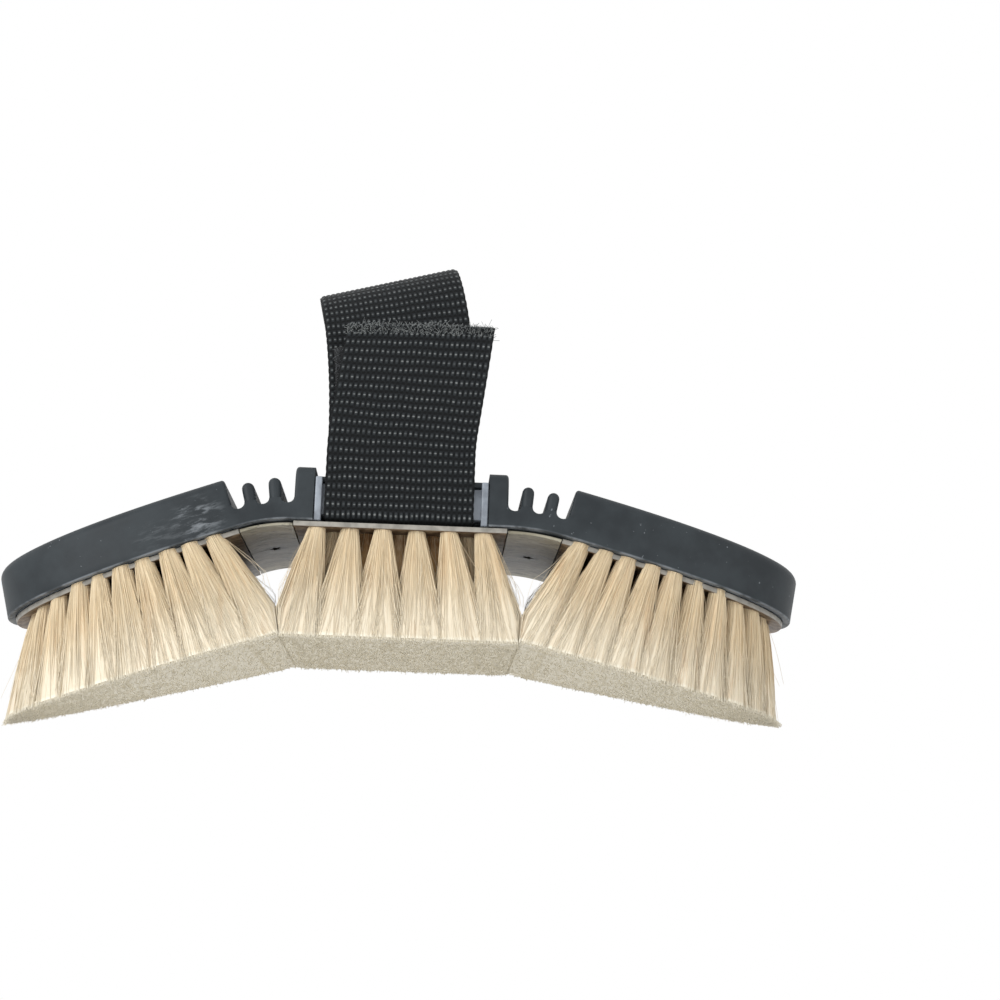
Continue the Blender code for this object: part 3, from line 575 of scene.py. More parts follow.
def rubber_material(name, settings):
    """Soft grip rubber: dark blue grey, finely grained, with chalky scuffs."""
    material, tree = new_material(name)
    place = attribute(tree, "made_place", "Vector")
    grain = use_group(tree, "moulded_grain", grain_group,
                      {"Place": place, "Grain Size": 0.00035, "Mottle Size": 0.009})
    shade = mixed(tree, ranged(tree, grain["Mottle"], 0.3, 0.7), settings.dark, settings.light)
    scuffs = []
    for middle, reach, streak, strength in SCUFFS:
        patch = use_group(tree, "chalk_patch", patch_group,
                          {"Place": place, "Middle": middle, "Reach": reach, "Streak Size": streak})
        scuffs.append(maths(tree, "MULTIPLY", patch["Patch"], strength * settings.scuff))
    shade = mixed(tree, maths(tree, "ADD", *scuffs, use_clamp=True), shade, settings.chalk)
    specks = noise(tree, place, 900.0, 2.0, 0.5)
    shade = mixed(tree, ranged(tree, specks, 0.72, 0.8, 0.0, 0.5), shade, settings.chalk)
    height = add_node(tree, "ShaderNodeSeparateXYZ", {0: place}).outputs["Z"]
    # Lighter, chalk coloured in patches along the bottom edge.
    patchy = ranged(tree, noise(tree, place, 160.0, 3.0, 0.6), 0.35, 0.6, 0.1, 0.55)
    edge = maths(tree, "MULTIPLY", ranged(tree, height, COVER_BOTTOM + 0.0006, COVER_BOTTOM + 0.0001), patchy)
    shade = mixed(tree, edge, shade, settings.chalk)
    rough = ranged(tree, grain["Mottle"], 0.25, 0.75, settings.roughness - 0.06, settings.roughness + 0.06)
    relief = maths(tree, "MULTIPLY_ADD", grain["Mottle"], 1.6, grain["Grain"])
    return surfaced(material, {"Base Color": shade, "Roughness": rough, "Specular IOR Level": 0.18},
                    relief, 0.00006, 0.55)


def plastic_material(name, settings):
    """Milky moulded plastic of the core, its guide ribs and the wing bases."""
    material, tree = new_material(name)
    place = add_node(tree, "ShaderNodeTexCoord").outputs["Object"]
    grain = use_group(tree, "moulded_grain", grain_group,
                      {"Place": place, "Grain Size": 0.0007, "Mottle Size": 0.004})
    shade = mixed(tree, ranged(tree, grain["Mottle"], 0.35, 0.7), settings.plastic, settings.plastic_dim)
    rough = ranged(tree, grain["Grain"], 0.2, 0.8, 0.3, 0.42)
    relief = maths(tree, "ADD", grain["Grain"], grain["Mottle"])
    return surfaced(material, {"Base Color": shade, "Roughness": rough}, relief, 0.00008, 0.5)


def plate_material(name, settings):
    """Plates that hold the hair: dull plastic at the edge, and underneath a dark brown painted shade between the
    roots.
    """
    material, tree = new_material(name)
    place = attribute(tree, "made_place", "Vector")
    grain = use_group(tree, "moulded_grain", grain_group,
                      {"Place": place, "Grain Size": 0.0006, "Mottle Size": 0.003})
    strip = mixed(tree, ranged(tree, grain["Mottle"], 0.35, 0.7), settings.strip, settings.strip_dim)
    # Painted shade: the underside between the roots is dark brown, lighter in places.
    painted_root_shade = mixed(tree, ranged(tree, grain["Mottle"], 0.4, 0.65), settings.painted_root_shade, settings.painted_root_shade_light)
    shade = mixed(tree, attribute(tree, "underside"), strip, painted_root_shade)
    rough = ranged(tree, grain["Grain"], 0.2, 0.8, 0.35, 0.5)
    relief = maths(tree, "ADD", grain["Grain"], grain["Mottle"])
    return surfaced(material, {"Base Color": shade, "Roughness": rough}, relief, 0.0001, 0.6)


def skin_material(name, settings):
    """Thin streaky skin under a hinge, dark round its star shaped hole."""
    material, tree = new_material(name)
    place = attribute(tree, "made_place", "Vector")
    drawn = vector_maths(tree, "MULTIPLY", place, (0.4, 1.0, 1.0))
    fine = noise(tree, drawn, 480.0, 5.0, 0.72)
    broad = noise(tree, drawn, 120.0, 4.0, 0.65)
    shade = mixed(tree, ranged(tree, broad, 0.36, 0.6), settings.skin_dim, settings.skin_light)
    shade = mixed(tree, ranged(tree, fine, 0.5, 0.66, 0.0, 0.85), shade, settings.skin_dark)
    either = vector_maths(tree, "ABSOLUTE", place)
    away = vector_maths(tree, "DISTANCE", either, (HINGE_MIDDLE, 0.0, 0.0), "Value")
    torn = maths(tree, "MULTIPLY_ADD", fine, 0.004, away)
    shade = mixed(tree, ranged(tree, torn, 0.0065, 0.0035, 0.0, 0.9), shade, settings.skin_torn)
    return surfaced(material, {"Base Color": shade, "Roughness": 0.4}, maths(tree, "ADD", fine, broad), 0.0002, 0.8)


def hair_material(name, settings):
    """Cream goat hair with tan streaks: painted shade in tan between the tufts and dark brown toward the roots, and a
    painted highlight that pales it toward the tips.
    """
    material, tree = new_material(name)
    place = attribute(tree, "made_place", "Vector")
    hair = use_group(tree, "hair_streaks", streak_group,
                     {"Place": place, "Tone": attribute(tree, "tone"), "Along": attribute(tree, "along")})
    # Painted highlight: the hair pales toward its tips.
    light = mixed(tree, hair["Tip"], settings.cream, settings.tip_highlight)
    # Painted shade: tan between the tufts, darkening to dark brown toward the roots; the tan also gives the hair's
    # real streaks.
    dark = mixed(tree, hair["Root"], settings.tan, settings.root)
    # Fine streaks and the strands' tones choose between the two, so the painted shade in the tones shows here.
    shade = mixed(tree, ranged(tree, hair["Fine"], 0.05, 0.5, kind="LINEAR"), dark, light)
    shade = mixed(tree, ranged(tree, hair["Broad"], 0.52, 0.72, 0.0, 0.35), shade, settings.warm)
    shade = mixed(tree, hair["Cut"], shade, settings.cut)
    return surfaced(material, {"Base Color": shade, "Roughness": 0.5, "Specular IOR Level": 0.3},
                    hair["Fine"], 0.0001, 0.5)


def cut_hair_material(name, settings):
    """Felt like face of the trimmed hair ends."""
    material, tree = new_material(name)
    place = attribute(tree, "made_place", "Vector")
    ends = noise(tree, place, 3000.0, 3.0, 0.7)
    clumps = noise(tree, vector_maths(tree, "MULTIPLY", place, (0.3, 1.0, 1.0)), 380.0, 4.0, 0.6)
    shade = mixed(tree, ranged(tree, ends, 0.35, 0.65), settings.cut_dark, settings.cut)
    shade = mixed(tree, ranged(tree, clumps, 0.5, 0.75, 0.0, 0.4), shade, settings.cut_dark)
    return surfaced(material, {"Base Color": shade, "Roughness": 0.85}, maths(tree, "ADD", ends, clumps), 0.0003, 0.5)


def webbing_material(name, settings):
    """Coarse black nylon webbing, with painted light on its cords: lighter crowns with glints, and painted shade in
    the grooves between them.
    """
    material, tree = new_material(name)
    place = attribute(tree, "cloth_place", "Vector")
    weave = use_group(tree, "crossing_cords", weave_group,
                      {"Place": place, "Cord Pitch": settings.cord_pitch, "Row Pitch": settings.row_pitch})
    # Painted light: each cord is lighter toward its crown.
    shade = mixed(tree, ranged(tree, weave["Crown"], 0.25, 0.95), settings.webbing, settings.nylon_tone_and_crown_light)
    # Painted shade: near black in the grooves between the cords.
    shade = mixed(tree, maths(tree, "MULTIPLY", weave["Groove"], 0.8), shade, settings.groove)
    # Lighter along the twist of the threads.
    shade = mixed(tree, ranged(tree, weave["Thread"], 0.5, 0.95, 0.0, 0.5), shade, settings.nylon_tone_and_crown_light)
    # Painted highlight: a light glint on each cord's crown.
    shade = mixed(tree, weave["Glint"], shade, settings.painted_glint)
    rough = ranged(tree, weave["Thread"], 0.0, 1.0, 0.6, 0.42)
    relief = maths(tree, "MULTIPLY_ADD", weave["Crown"], 2.0, weave["Thread"])
    return surfaced(material, {"Base Color": shade, "Roughness": rough, "Specular IOR Level": 0.12},
                    relief, 0.0002, 0.8)


def fibre_material(name, dark, light):
    """Short synthetic fibres."""
    material, tree = new_material(name)
    shade = mixed(tree, attribute(tree, "tone"), dark, light)
    flecks = noise(tree, attribute(tree, "made_place", "Vector"), 900.0, 2.0, 0.5)
    shade = mixed(tree, ranged(tree, flecks, 0.5, 0.8, 0.0, 0.4), shade, light)
    return surfaced(material, {"Base Color": shade, "Roughness": 0.55})


def tape_material(name, dark, light):
    """Knitted backing of a closure tape."""
    material, tree = new_material(name)
    weave = use_group(tree, "crossing_cords", weave_group,
                      {"Place": attribute(tree, "cloth_place", "Vector"), "Cord Pitch": 0.0007, "Row Pitch": 0.0007})
    shade = mixed(tree, weave["Crown"], dark, light)
    return surfaced(material, {"Base Color": shade, "Roughness": 0.8}, weave["Crown"], 0.00012, 0.7)


def floor_material(name, settings):
    """Pale matte floor that fades out to the background, and that isn't seen from below."""
    material, tree = new_material(name)
    place = add_node(tree, "ShaderNodeTexCoord").outputs["Object"]
    dim = [value * 0.985 for value in settings.floor_colour]
    shade = mixed(tree, ranged(tree, noise(tree, place, 30.0, 2.0, 0.5), 0.3, 0.7), settings.floor_colour, dim)
    surfaced(material, {"Base Color": shade, "Roughness": 0.9})
    length = vector_maths(tree, "LENGTH", place, output="Value")
    fade = ranged(tree, length, 0.5 * settings.floor_reach, settings.floor_reach)
    behind = add_node(tree, "ShaderNodeNewGeometry").outputs["Backfacing"]
    clear = add_node(tree, "ShaderNodeBsdfTransparent").outputs[0]
    join = add_node(tree, "ShaderNodeMixShader", {0: maths(tree, "MAXIMUM", fade, behind),
                                                  1: tree.nodes["Principled BSDF"].outputs[0], 2: clear})
    connect(tree, tree.nodes["Material Output"], {"Surface": join.outputs[0]})
    return material


# Rubber body

def block_top(x):
    """Height of the body's top in the flat state, without its slots."""
    hinge = CENTER_HEIGHT + (WING_INNER_HEIGHT - CENTER_HEIGHT) * (x - HINGE_START) / (HINGE_END - HINGE_START)
    fall = (WING_OUTER_HEIGHT - WING_INNER_HEIGHT) * (x - HINGE_END) / (BODY_HALF_LENGTH - HINGE_END)
    return np.where(x < HINGE_START, CENTER_HEIGHT, np.where(x < HINGE_END, hinge, WING_INNER_HEIGHT + fall))


def arc(steps, turn=math.pi / 2):
    """Steps along an arc of radius 1 from where it stands upright: how far in it has come, and how far up."""
    return [(1 - math.cos(angle), math.sin(angle)) for angle in np.linspace(0.0, turn, steps)]


def hinge_stations(mouth):
    """Stations from the recess over the grooves to the wing, as (x, top, ledge, upper inset, top radius)."""
    ledge = BAND_TOP + SLOT_FLOOR_RADIUS
    radius = COVER_TOP_RADIUS
    rib = RIB_WIDTH / 2
    rib_edge = 0.001
    half_slot = SLOT_WIDTH / 2
    quarter, half = arc(6), arc(11, math.pi)
    rows = [(x, CENTER_HEIGHT, ledge, 0.0, radius)
            for x in np.linspace(RECESS_HALF_LENGTH, HINGE_START - mouth, 5)[:-1]]
    for over, up in quarter:
        drop = mouth * over
        rows.append((HINGE_START - mouth + mouth * up, CENTER_HEIGHT - drop, ledge, drop, radius))
    for index in range(SLOT_COUNT):
        start = HINGE_START + index * (SLOT_WIDTH + RIB_WIDTH)
        before = (mouth, radius) if index == 0 else (rib, rib_edge)
        after = (mouth, radius) if index == SLOT_COUNT - 1 else (rib, rib_edge)
        for over, up in half:
            share = over / 2
            level = BAND_TOP + SLOT_FLOOR_RADIUS * (1 - up)
            inset = before[0] + (after[0] - before[0]) * share
            edge = before[1] + (after[1] - before[1]) * share
            rows.append((start + half_slot * over, level, level, inset, edge))
        if index < SLOT_COUNT - 1:
            share = index / max(SLOT_COUNT - 2, 1)
            inner = CENTER_HEIGHT - INNER_RIB_DROP
            top = inner + (WING_INNER_HEIGHT - OUTER_RIB_DROP - inner) * share
            for over, up in half:
                rows.append((start + SLOT_WIDTH + rib * over, top - rib + rib * up, ledge, rib * (1 - up), rib_edge))
    for over, up in quarter:
        rise = mouth * (1 - up)
        rows.append((HINGE_END + mouth * over, WING_INNER_HEIGHT - rise, ledge, rise, radius))
    return rows


def wall_section(x, top, ledge, upper_inset, radius, edge):
    """Near half of a section across the body, from its bottom edge up to its top, as rows of (inset, height)."""
    span = block_top(x) - COVER_TOP_RADIUS - COVER_BOTTOM

    def draft(level):
        return COVER_DRAFT * (level - COVER_BOTTOM) / span

    rows = [(edge * (1 - up), COVER_BOTTOM + edge * over) for over, up in arc(4)]
    lip = min(0.0003, upper_inset)
    for share in (0.33, 0.66):
        level = COVER_BOTTOM + edge + (ledge - lip - COVER_BOTTOM - edge) * share
        rows.append((draft(level), level))
    rows += [(draft(ledge) + lip * over, ledge - lip + lip * up) for over, up in arc(3)]
    height = min(radius, max(top - ledge, 0.0))
    foot = draft(ledge) + upper_inset
    for share in np.linspace(0.0, 1.0, 4):
        level = ledge + (top - height - ledge) * share
        rows.append((foot + draft(level) - draft(ledge), level))
    side = foot + draft(top - height) - draft(ledge)
    rows += [(side + radius * over, top - height + height * up) for over, up in arc(8)[1:]]
    return np.array(rows)


def section_ring(xs, ys, zs):
    """Closed ring from the near bottom edge up, over the top, down the far side and back underneath."""
    near = np.stack([xs, -ys, zs], axis=1)
    far = np.stack([xs, ys, zs], axis=1)[::-1]
    shares = np.linspace(0.0, 1.0, TOP_COLUMNS + 1)[1:-1, None]
    over = near[-1] * (1 - shares) + far[0] * shares
    under = far[-1] * (1 - shares) + near[0] * shares
    return np.concatenate([near, over, far, under])


def moulding_mesh(edge, mouth):
    """Rubber of either side in the flat state, in one piece: post by the recess, grooved hinge and wing."""
    rings = []
    for row in hinge_stations(mouth):
        section = wall_section(*row, edge)
        rings.append(section_ring(np.full(len(section), row[0]), BODY_HALF_WIDTH - section[:, 0], section[:, 1]))
    start = HINGE_END + mouth
    power = 2.0 / PLAN_ROUNDNESS
    tall = block_top(start) - COVER_BOTTOM
    for turn in np.linspace(0.0, math.pi / 2, PLAN_STEPS // 2 + 1)[1:]:
        along = math.sin(turn) ** power
        across = max(math.cos(turn), 0.0) ** power if turn < math.pi / 2 - 1e-9 else 0.0
        xs = start + (BODY_HALF_LENGTH - section[:, 0] - start) * along
        ys = (BODY_HALF_WIDTH - section[:, 0]) * across
        zs = COVER_BOTTOM + (section[:, 1] - COVER_BOTTOM) * (block_top(xs) - COVER_BOTTOM) / tall
        rings.append(section_ring(xs, ys, zs))
    mesh = skin_mesh("moulding", rings)
    low = (RECESS_HALF_LENGTH - 0.004, -BODY_HALF_WIDTH + COVER_WALL, -0.004)
    high = (HINGE_START - COVER_END_WALL, BODY_HALF_WIDTH - COVER_WALL, CORE_TOP + GAP)
    post_room = box_mesh("post_room", [(low, high)], 0.0001)
    wing_room = skin_mesh("wing_room", wing_rings(COVER_WALL, HINGE_END + COVER_END_WALL, (
        (-0.004, 0.0), (COVER_BOTTOM, 0.0), (WING_INNER_HEIGHT - COVER_TOP, COVER_DRAFT)), True))
    return cut_away(mesh, [post_room, wing_room])


def plan_outline(steps):
    """A wing's rounded outline as shares of its length and half width, from its near side to its far side."""
    power = 2.0 / PLAN_ROUNDNESS
    turns = np.linspace(-math.pi / 2, math.pi / 2, steps)
    return np.maximum(np.cos(turns), 0.0) ** power, np.sign(np.sin(turns)) * np.abs(np.sin(turns)) ** power


def wing_rings(inset, start, levels, follow_top=False):
    """Rings of a wing's plan at several levels, given as (height, further inset), x outward."""
    along, across = plan_outline(PLAN_STEPS + 1)
    rings = []
    for height, further in levels:
        xs = start + (BODY_HALF_LENGTH - inset - further - start) * along
        ys = (BODY_HALF_WIDTH - inset - further) * across
        zs = np.full(len(xs), height)
        if follow_top and height > COVER_BOTTOM:
            zs = zs + block_top(xs) - WING_INNER_HEIGHT
        rings.append(np.stack([xs, ys, zs], axis=1))
    return rings


def bend_mesh(mesh, side):
    """Keep the flat state as the made place, then bend the mesh over its hinge and set it in the world."""
    flat = coordinates(mesh)
    remember_place(mesh, flat * np.array([side, 1.0, 1.0]))
    move_points(mesh, placed(bent(side, flat), BLOCK))
    if side < 0:
        mesh.flip_normals()


# Hand strap

def arch_line():
    """Points of the strap's arch over the hand, and their distances from its near foot."""
    power = 2.0 / ARCH_ROUNDNESS
    turns = np.pi * np.arange(ARCH_SAMPLES + 1) / ARCH_SAMPLES
    across = np.sign(np.cos(turns)) * np.abs(np.cos(turns)) ** power
    y = ARCH_MIDDLE - ARCH_HALF_SPAN * across
    z = ARCH_HEIGHT * np.maximum(np.sin(turns), 0.0) ** power
    distance = np.concatenate([[0.0], np.cumsum(np.hypot(np.diff(y), np.diff(z)))])
    return y, z, distance


ARCH_Y, ARCH_Z, ARCH_DISTANCE = arch_line()
ARCH_LENGTH = float(ARCH_DISTANCE[-1])


def arch_at(distance):
    """Points and directions of the arch at distances from its near foot; it runs straight past its feet."""
    distance = np.asarray(distance, float)
    inside = np.clip(distance, 0.0, ARCH_LENGTH)
    y = np.interp(inside, ARCH_DISTANCE, ARCH_Y)
    z = np.interp(inside, ARCH_DISTANCE, ARCH_Z)
    slope_y = np.interp(inside, ARCH_DISTANCE, np.gradient(ARCH_Y, ARCH_DISTANCE))
    slope_z = np.interp(inside, ARCH_DISTANCE, np.gradient(ARCH_Z, ARCH_DISTANCE))
    size = np.hypot(slope_y, slope_z)
    slope_y, slope_z = slope_y / size, slope_z / size
    outside = (distance <= 0.0) | (distance >= ARCH_LENGTH)
    slope_y = np.where(outside, 0.0, slope_y)
    slope_z = np.where(distance <= 0.0, 1.0, np.where(distance >= ARCH_LENGTH, -1.0, slope_z))
    z = np.where(distance < 0.0, distance, np.where(distance > ARCH_LENGTH, ARCH_LENGTH - distance, z))
    return y, z, slope_y, slope_z


def arch_drift(height):
    """Tilt of the strap across its width at a height, and how far its middle has drifted sideways."""
    share = np.maximum(height, 0.0) / ARCH_HEIGHT
    tilt = ARCH_TILT * share ** ARCH_TILT_GROWTH
    drift = -ARCH_TILT * ARCH_HEIGHT * share ** (ARCH_TILT_GROWTH + 1) / (ARCH_TILT_GROWTH + 1)
    return tilt, drift


def strap_point(along, across, offset):
    """Points on the strap's surface: along the arch, across it from its middle, and out from it."""
    y, z, slope_y, slope_z = arch_at(along)
    tilt, drift = arch_drift(z)
    normal_y, normal_z = -slope_z, slope_y
    return np.stack([STRAP_SHIFT + drift + across * np.cos(tilt) - offset * normal_z * np.sin(tilt),
                     y + offset * normal_y,
                     STRAP_FOOT + z + across * np.sin(tilt) + offset * normal_z * np.cos(tilt)], axis=-1)


def tab_middle(along):
    """Where the leaning tab's middle lies across the arch's surface."""
    _, z, _, _ = arch_at(along)
    tilt, drift = arch_drift(z)
    past = np.maximum(along - TAB_LEAN_START, 0.0)
    eased = np.where(past > TAB_LEAN_EASE, past - TAB_LEAN_EASE / 2, past * past / (2 * TAB_LEAN_EASE))
    return (math.tan(TAB_LEAN) * eased - drift) / np.cos(tilt)


def tab_point(along, share, half_width, offset):
    """Points of the leaning tab: along it, and a share of its half width from its middle."""
    step = GAP
    lean = np.arctan((tab_middle(along + step) - tab_middle(along)) / step)
    width = half_width * (1 - TAB_CUT_SHARE * np.sin(lean) ** 2) / np.cos(lean)
    back = TAB_CUT_SHARE * half_width * np.sin(lean)
    return strap_point(along - share * back, tab_middle(along) + share * width, offset)


def underpass_point(distance, across, offset):
    """Points of the webbing from the middle of the block's underside out and up its far side."""
    radius = WEBBING_BEND_RADIUS
    flat = STRAP_FACE - radius
    turn_length = radius * math.pi / 2
    corner_z = UNDERPASS_LEVEL + radius
    turn = np.clip((distance - flat) / radius, 0.0, math.pi / 2)
    rise = np.maximum(distance - flat - turn_length, 0.0)
    reach = radius + offset
    y = np.minimum(distance, flat) + reach * np.sin(turn)
    z = corner_z - reach * np.cos(turn) + rise
    return np.stack([STRAP_SHIFT + across, y, z], axis=-1)


UNDERPASS_RUN = STRAP_FACE - WEBBING_BEND_RADIUS * (2 - math.pi / 2) + STRAP_FOOT - UNDERPASS_LEVEL


def near_run_point(distance, share, half_width, offset):
    """The near half of the strap: from under the block, up the near recess and along the tab."""
    low = underpass_point(distance, share * half_width, offset) * np.array([1.0, -1.0, 1.0])
    high = tab_point(distance - UNDERPASS_RUN, share, half_width, TAB_OFFSET + offset)
    return np.where((distance < UNDERPASS_RUN)[..., None], low, high)


def far_run_point(distance, share, half_width, offset):
    """The far half of the strap: from under the block, up the far recess and over the hand to its near end."""
    low = underpass_point(distance, share * half_width, offset)
    high = strap_point(ARCH_LENGTH - (distance - UNDERPASS_RUN), share * half_width, offset)
    return np.where((distance < UNDERPASS_RUN)[..., None], low, high)


def webbing_mesh(point, length, settings, half_width):
    """Woven band along a run of the strap, with its cords and rows raised on both faces."""
    cords = round(2 * half_width / settings.cord_pitch)
    columns = cords * 3
    rows = max(8, int(length / settings.row_pitch * 5))
    stations = np.linspace(0.0, length, rows + 1)
    grid_s, grid_a = np.meshgrid(stations, np.linspace(-1.0, 1.0, columns + 1), indexing="ij")
    cord = (grid_a + 1) / 2 * cords
    crown = np.abs(np.sin(math.pi * cord)) ** 0.7
    row = np.abs(np.sin(math.pi * grid_s / settings.row_pitch)) ** 0.8
    raised = settings.relief * (0.3 * crown + 0.7 * crown * row)
    edge = 1 - 0.45 * np.clip((np.abs(grid_a) - 0.965) / 0.035, 0.0, 1.0)
    half = (settings.thickness / 2 - settings.relief * 0.6) * edge
    wave = settings.selvedge * (0.55 + 0.45 * np.abs(np.sin(math.pi * stations / settings.row_pitch)))

    def selvedge(sign, share):
        level = np.full(rows + 1, share * settings.thickness)
        return point(stations, sign * (1 + wave / half_width), half_width, level)[:, None]

    rings = np.concatenate([point(grid_s, grid_a, half_width, half + raised), selvedge(1.0, 0.2), selvedge(1.0, -0.2),
                            point(grid_s, grid_a, half_width, -(half + raised))[:, ::-1],
                            selvedge(-1.0, -0.2), selvedge(-1.0, 0.2)], axis=1)
    mesh = strip_mesh("webbing", rings, columns)
    edges = np.ones((rows + 1, 2))
    shares = np.concatenate([cord, edges * cords, cord[:, ::-1], edges * 0.0], axis=1)
    along = np.broadcast_to(stations[:, None], shares.shape)
    place = np.stack([shares * settings.cord_pitch, along, np.zeros_like(shares)], axis=-1)
    remember_place(mesh, place, "cloth_place")
    return mesh


def tape_mesh(point, start, stop, half_width, low, high):
    """Thin flat backing of a closure tape along a run, between two offsets from the run's middle."""
    stations = np.linspace(start, stop, 40)
    grid_s, grid_a = np.meshgrid(stations, np.linspace(-1.0, 1.0, 25), indexing="ij")
    over = point(grid_s, grid_a, half_width, np.full(grid_s.shape, high))
    under = point(grid_s, grid_a, half_width, np.full(grid_s.shape, low))[:, ::-1]
    mesh = strip_mesh("tape", np.concatenate([over, under], axis=1), grid_s.shape[1] - 1)
    across = np.concatenate([grid_a, grid_a[:, ::-1]], axis=1) * half_width
    along = np.concatenate([grid_s, grid_s], axis=1)
    remember_place(mesh, np.stack([across + half_width, along, np.zeros_like(along)], axis=-1), "cloth_place")
    return mesh


def fibre_piece(name, paths, radii, material, seed, sides=3, tones=None):
    """One piece of many thin fibres, each with its own tone; the paths are in the world."""
    chance = np.random.default_rng(seed)
    count, stations = paths.shape[:2]
    points, quads = tubes(paths, radii, chance.uniform(0, 2 * np.pi, count), sides)
    mesh = mesh_of(name, points, quads)
    if tones is None:
        tones = chance.uniform(0.0, 1.0, count)
    remember_value(mesh, "tone", np.repeat(tones, stations * sides))
    along = np.tile(np.repeat(np.linspace(0.0, 1.0, stations), sides), count)
    remember_value(mesh, "along", along)
    remember_place(mesh, points)
    return add_piece(name, mesh, material, None)


# Hair

def least_reach(side, depth):
    """How far inward of the hinge's middle two hair blocks meet, at a depth under the flat state's plates."""
    return math.tan(FLEX_ANGLE[side] / 2) * (depth + FLEX_AXIS_HEIGHT)


def kept_inside(side, xs, depth, spare):
    """Places pushed back behind the planes where the hair blocks meet; side 0 is the center block."""
    if side == 0:
        right = HINGE_MIDDLE - least_reach(1, depth) - spare
        left = HINGE_MIDDLE - least_reach(-1, depth) - spare
        return np.clip(xs, -left, right)
    return np.maximum(xs, HINGE_MIDDLE + least_reach(side, depth) + spare)


def hair_length(side, x, y):
    """Length of the trimmed hair over a block in its flat state, which falls toward a wing's toe and far side."""
    x, y = np.asarray(x, float), np.asarray(y, float)
    if side == 0:
        return np.full(np.broadcast(x, y).shape, BRISTLE_LENGTH + 0.0006)
    share = np.maximum(x - HINGE_END, 0.0) / (BODY_HALF_LENGTH - HINGE_END)
    fall = {-1: (0.0042, 0.0016), 1: (0.0030, 0.0014)}[side]
    return BRISTLE_LENGTH + 0.0001 - share * (fall[0] + fall[1] * y / BODY_HALF_WIDTH)


def squared(circle):
    """Directions reached out to a rounded square, so that neighbouring tufts close up where they meet."""
    size = np.maximum(np.linalg.norm(circle, axis=-1, keepdims=True), 1e-9)
    unit = np.abs(circle) / size
    return circle / np.sum(unit ** TUFT_SQUARENESS, axis=-1, keepdims=True) ** (1 / TUFT_SQUARENESS)


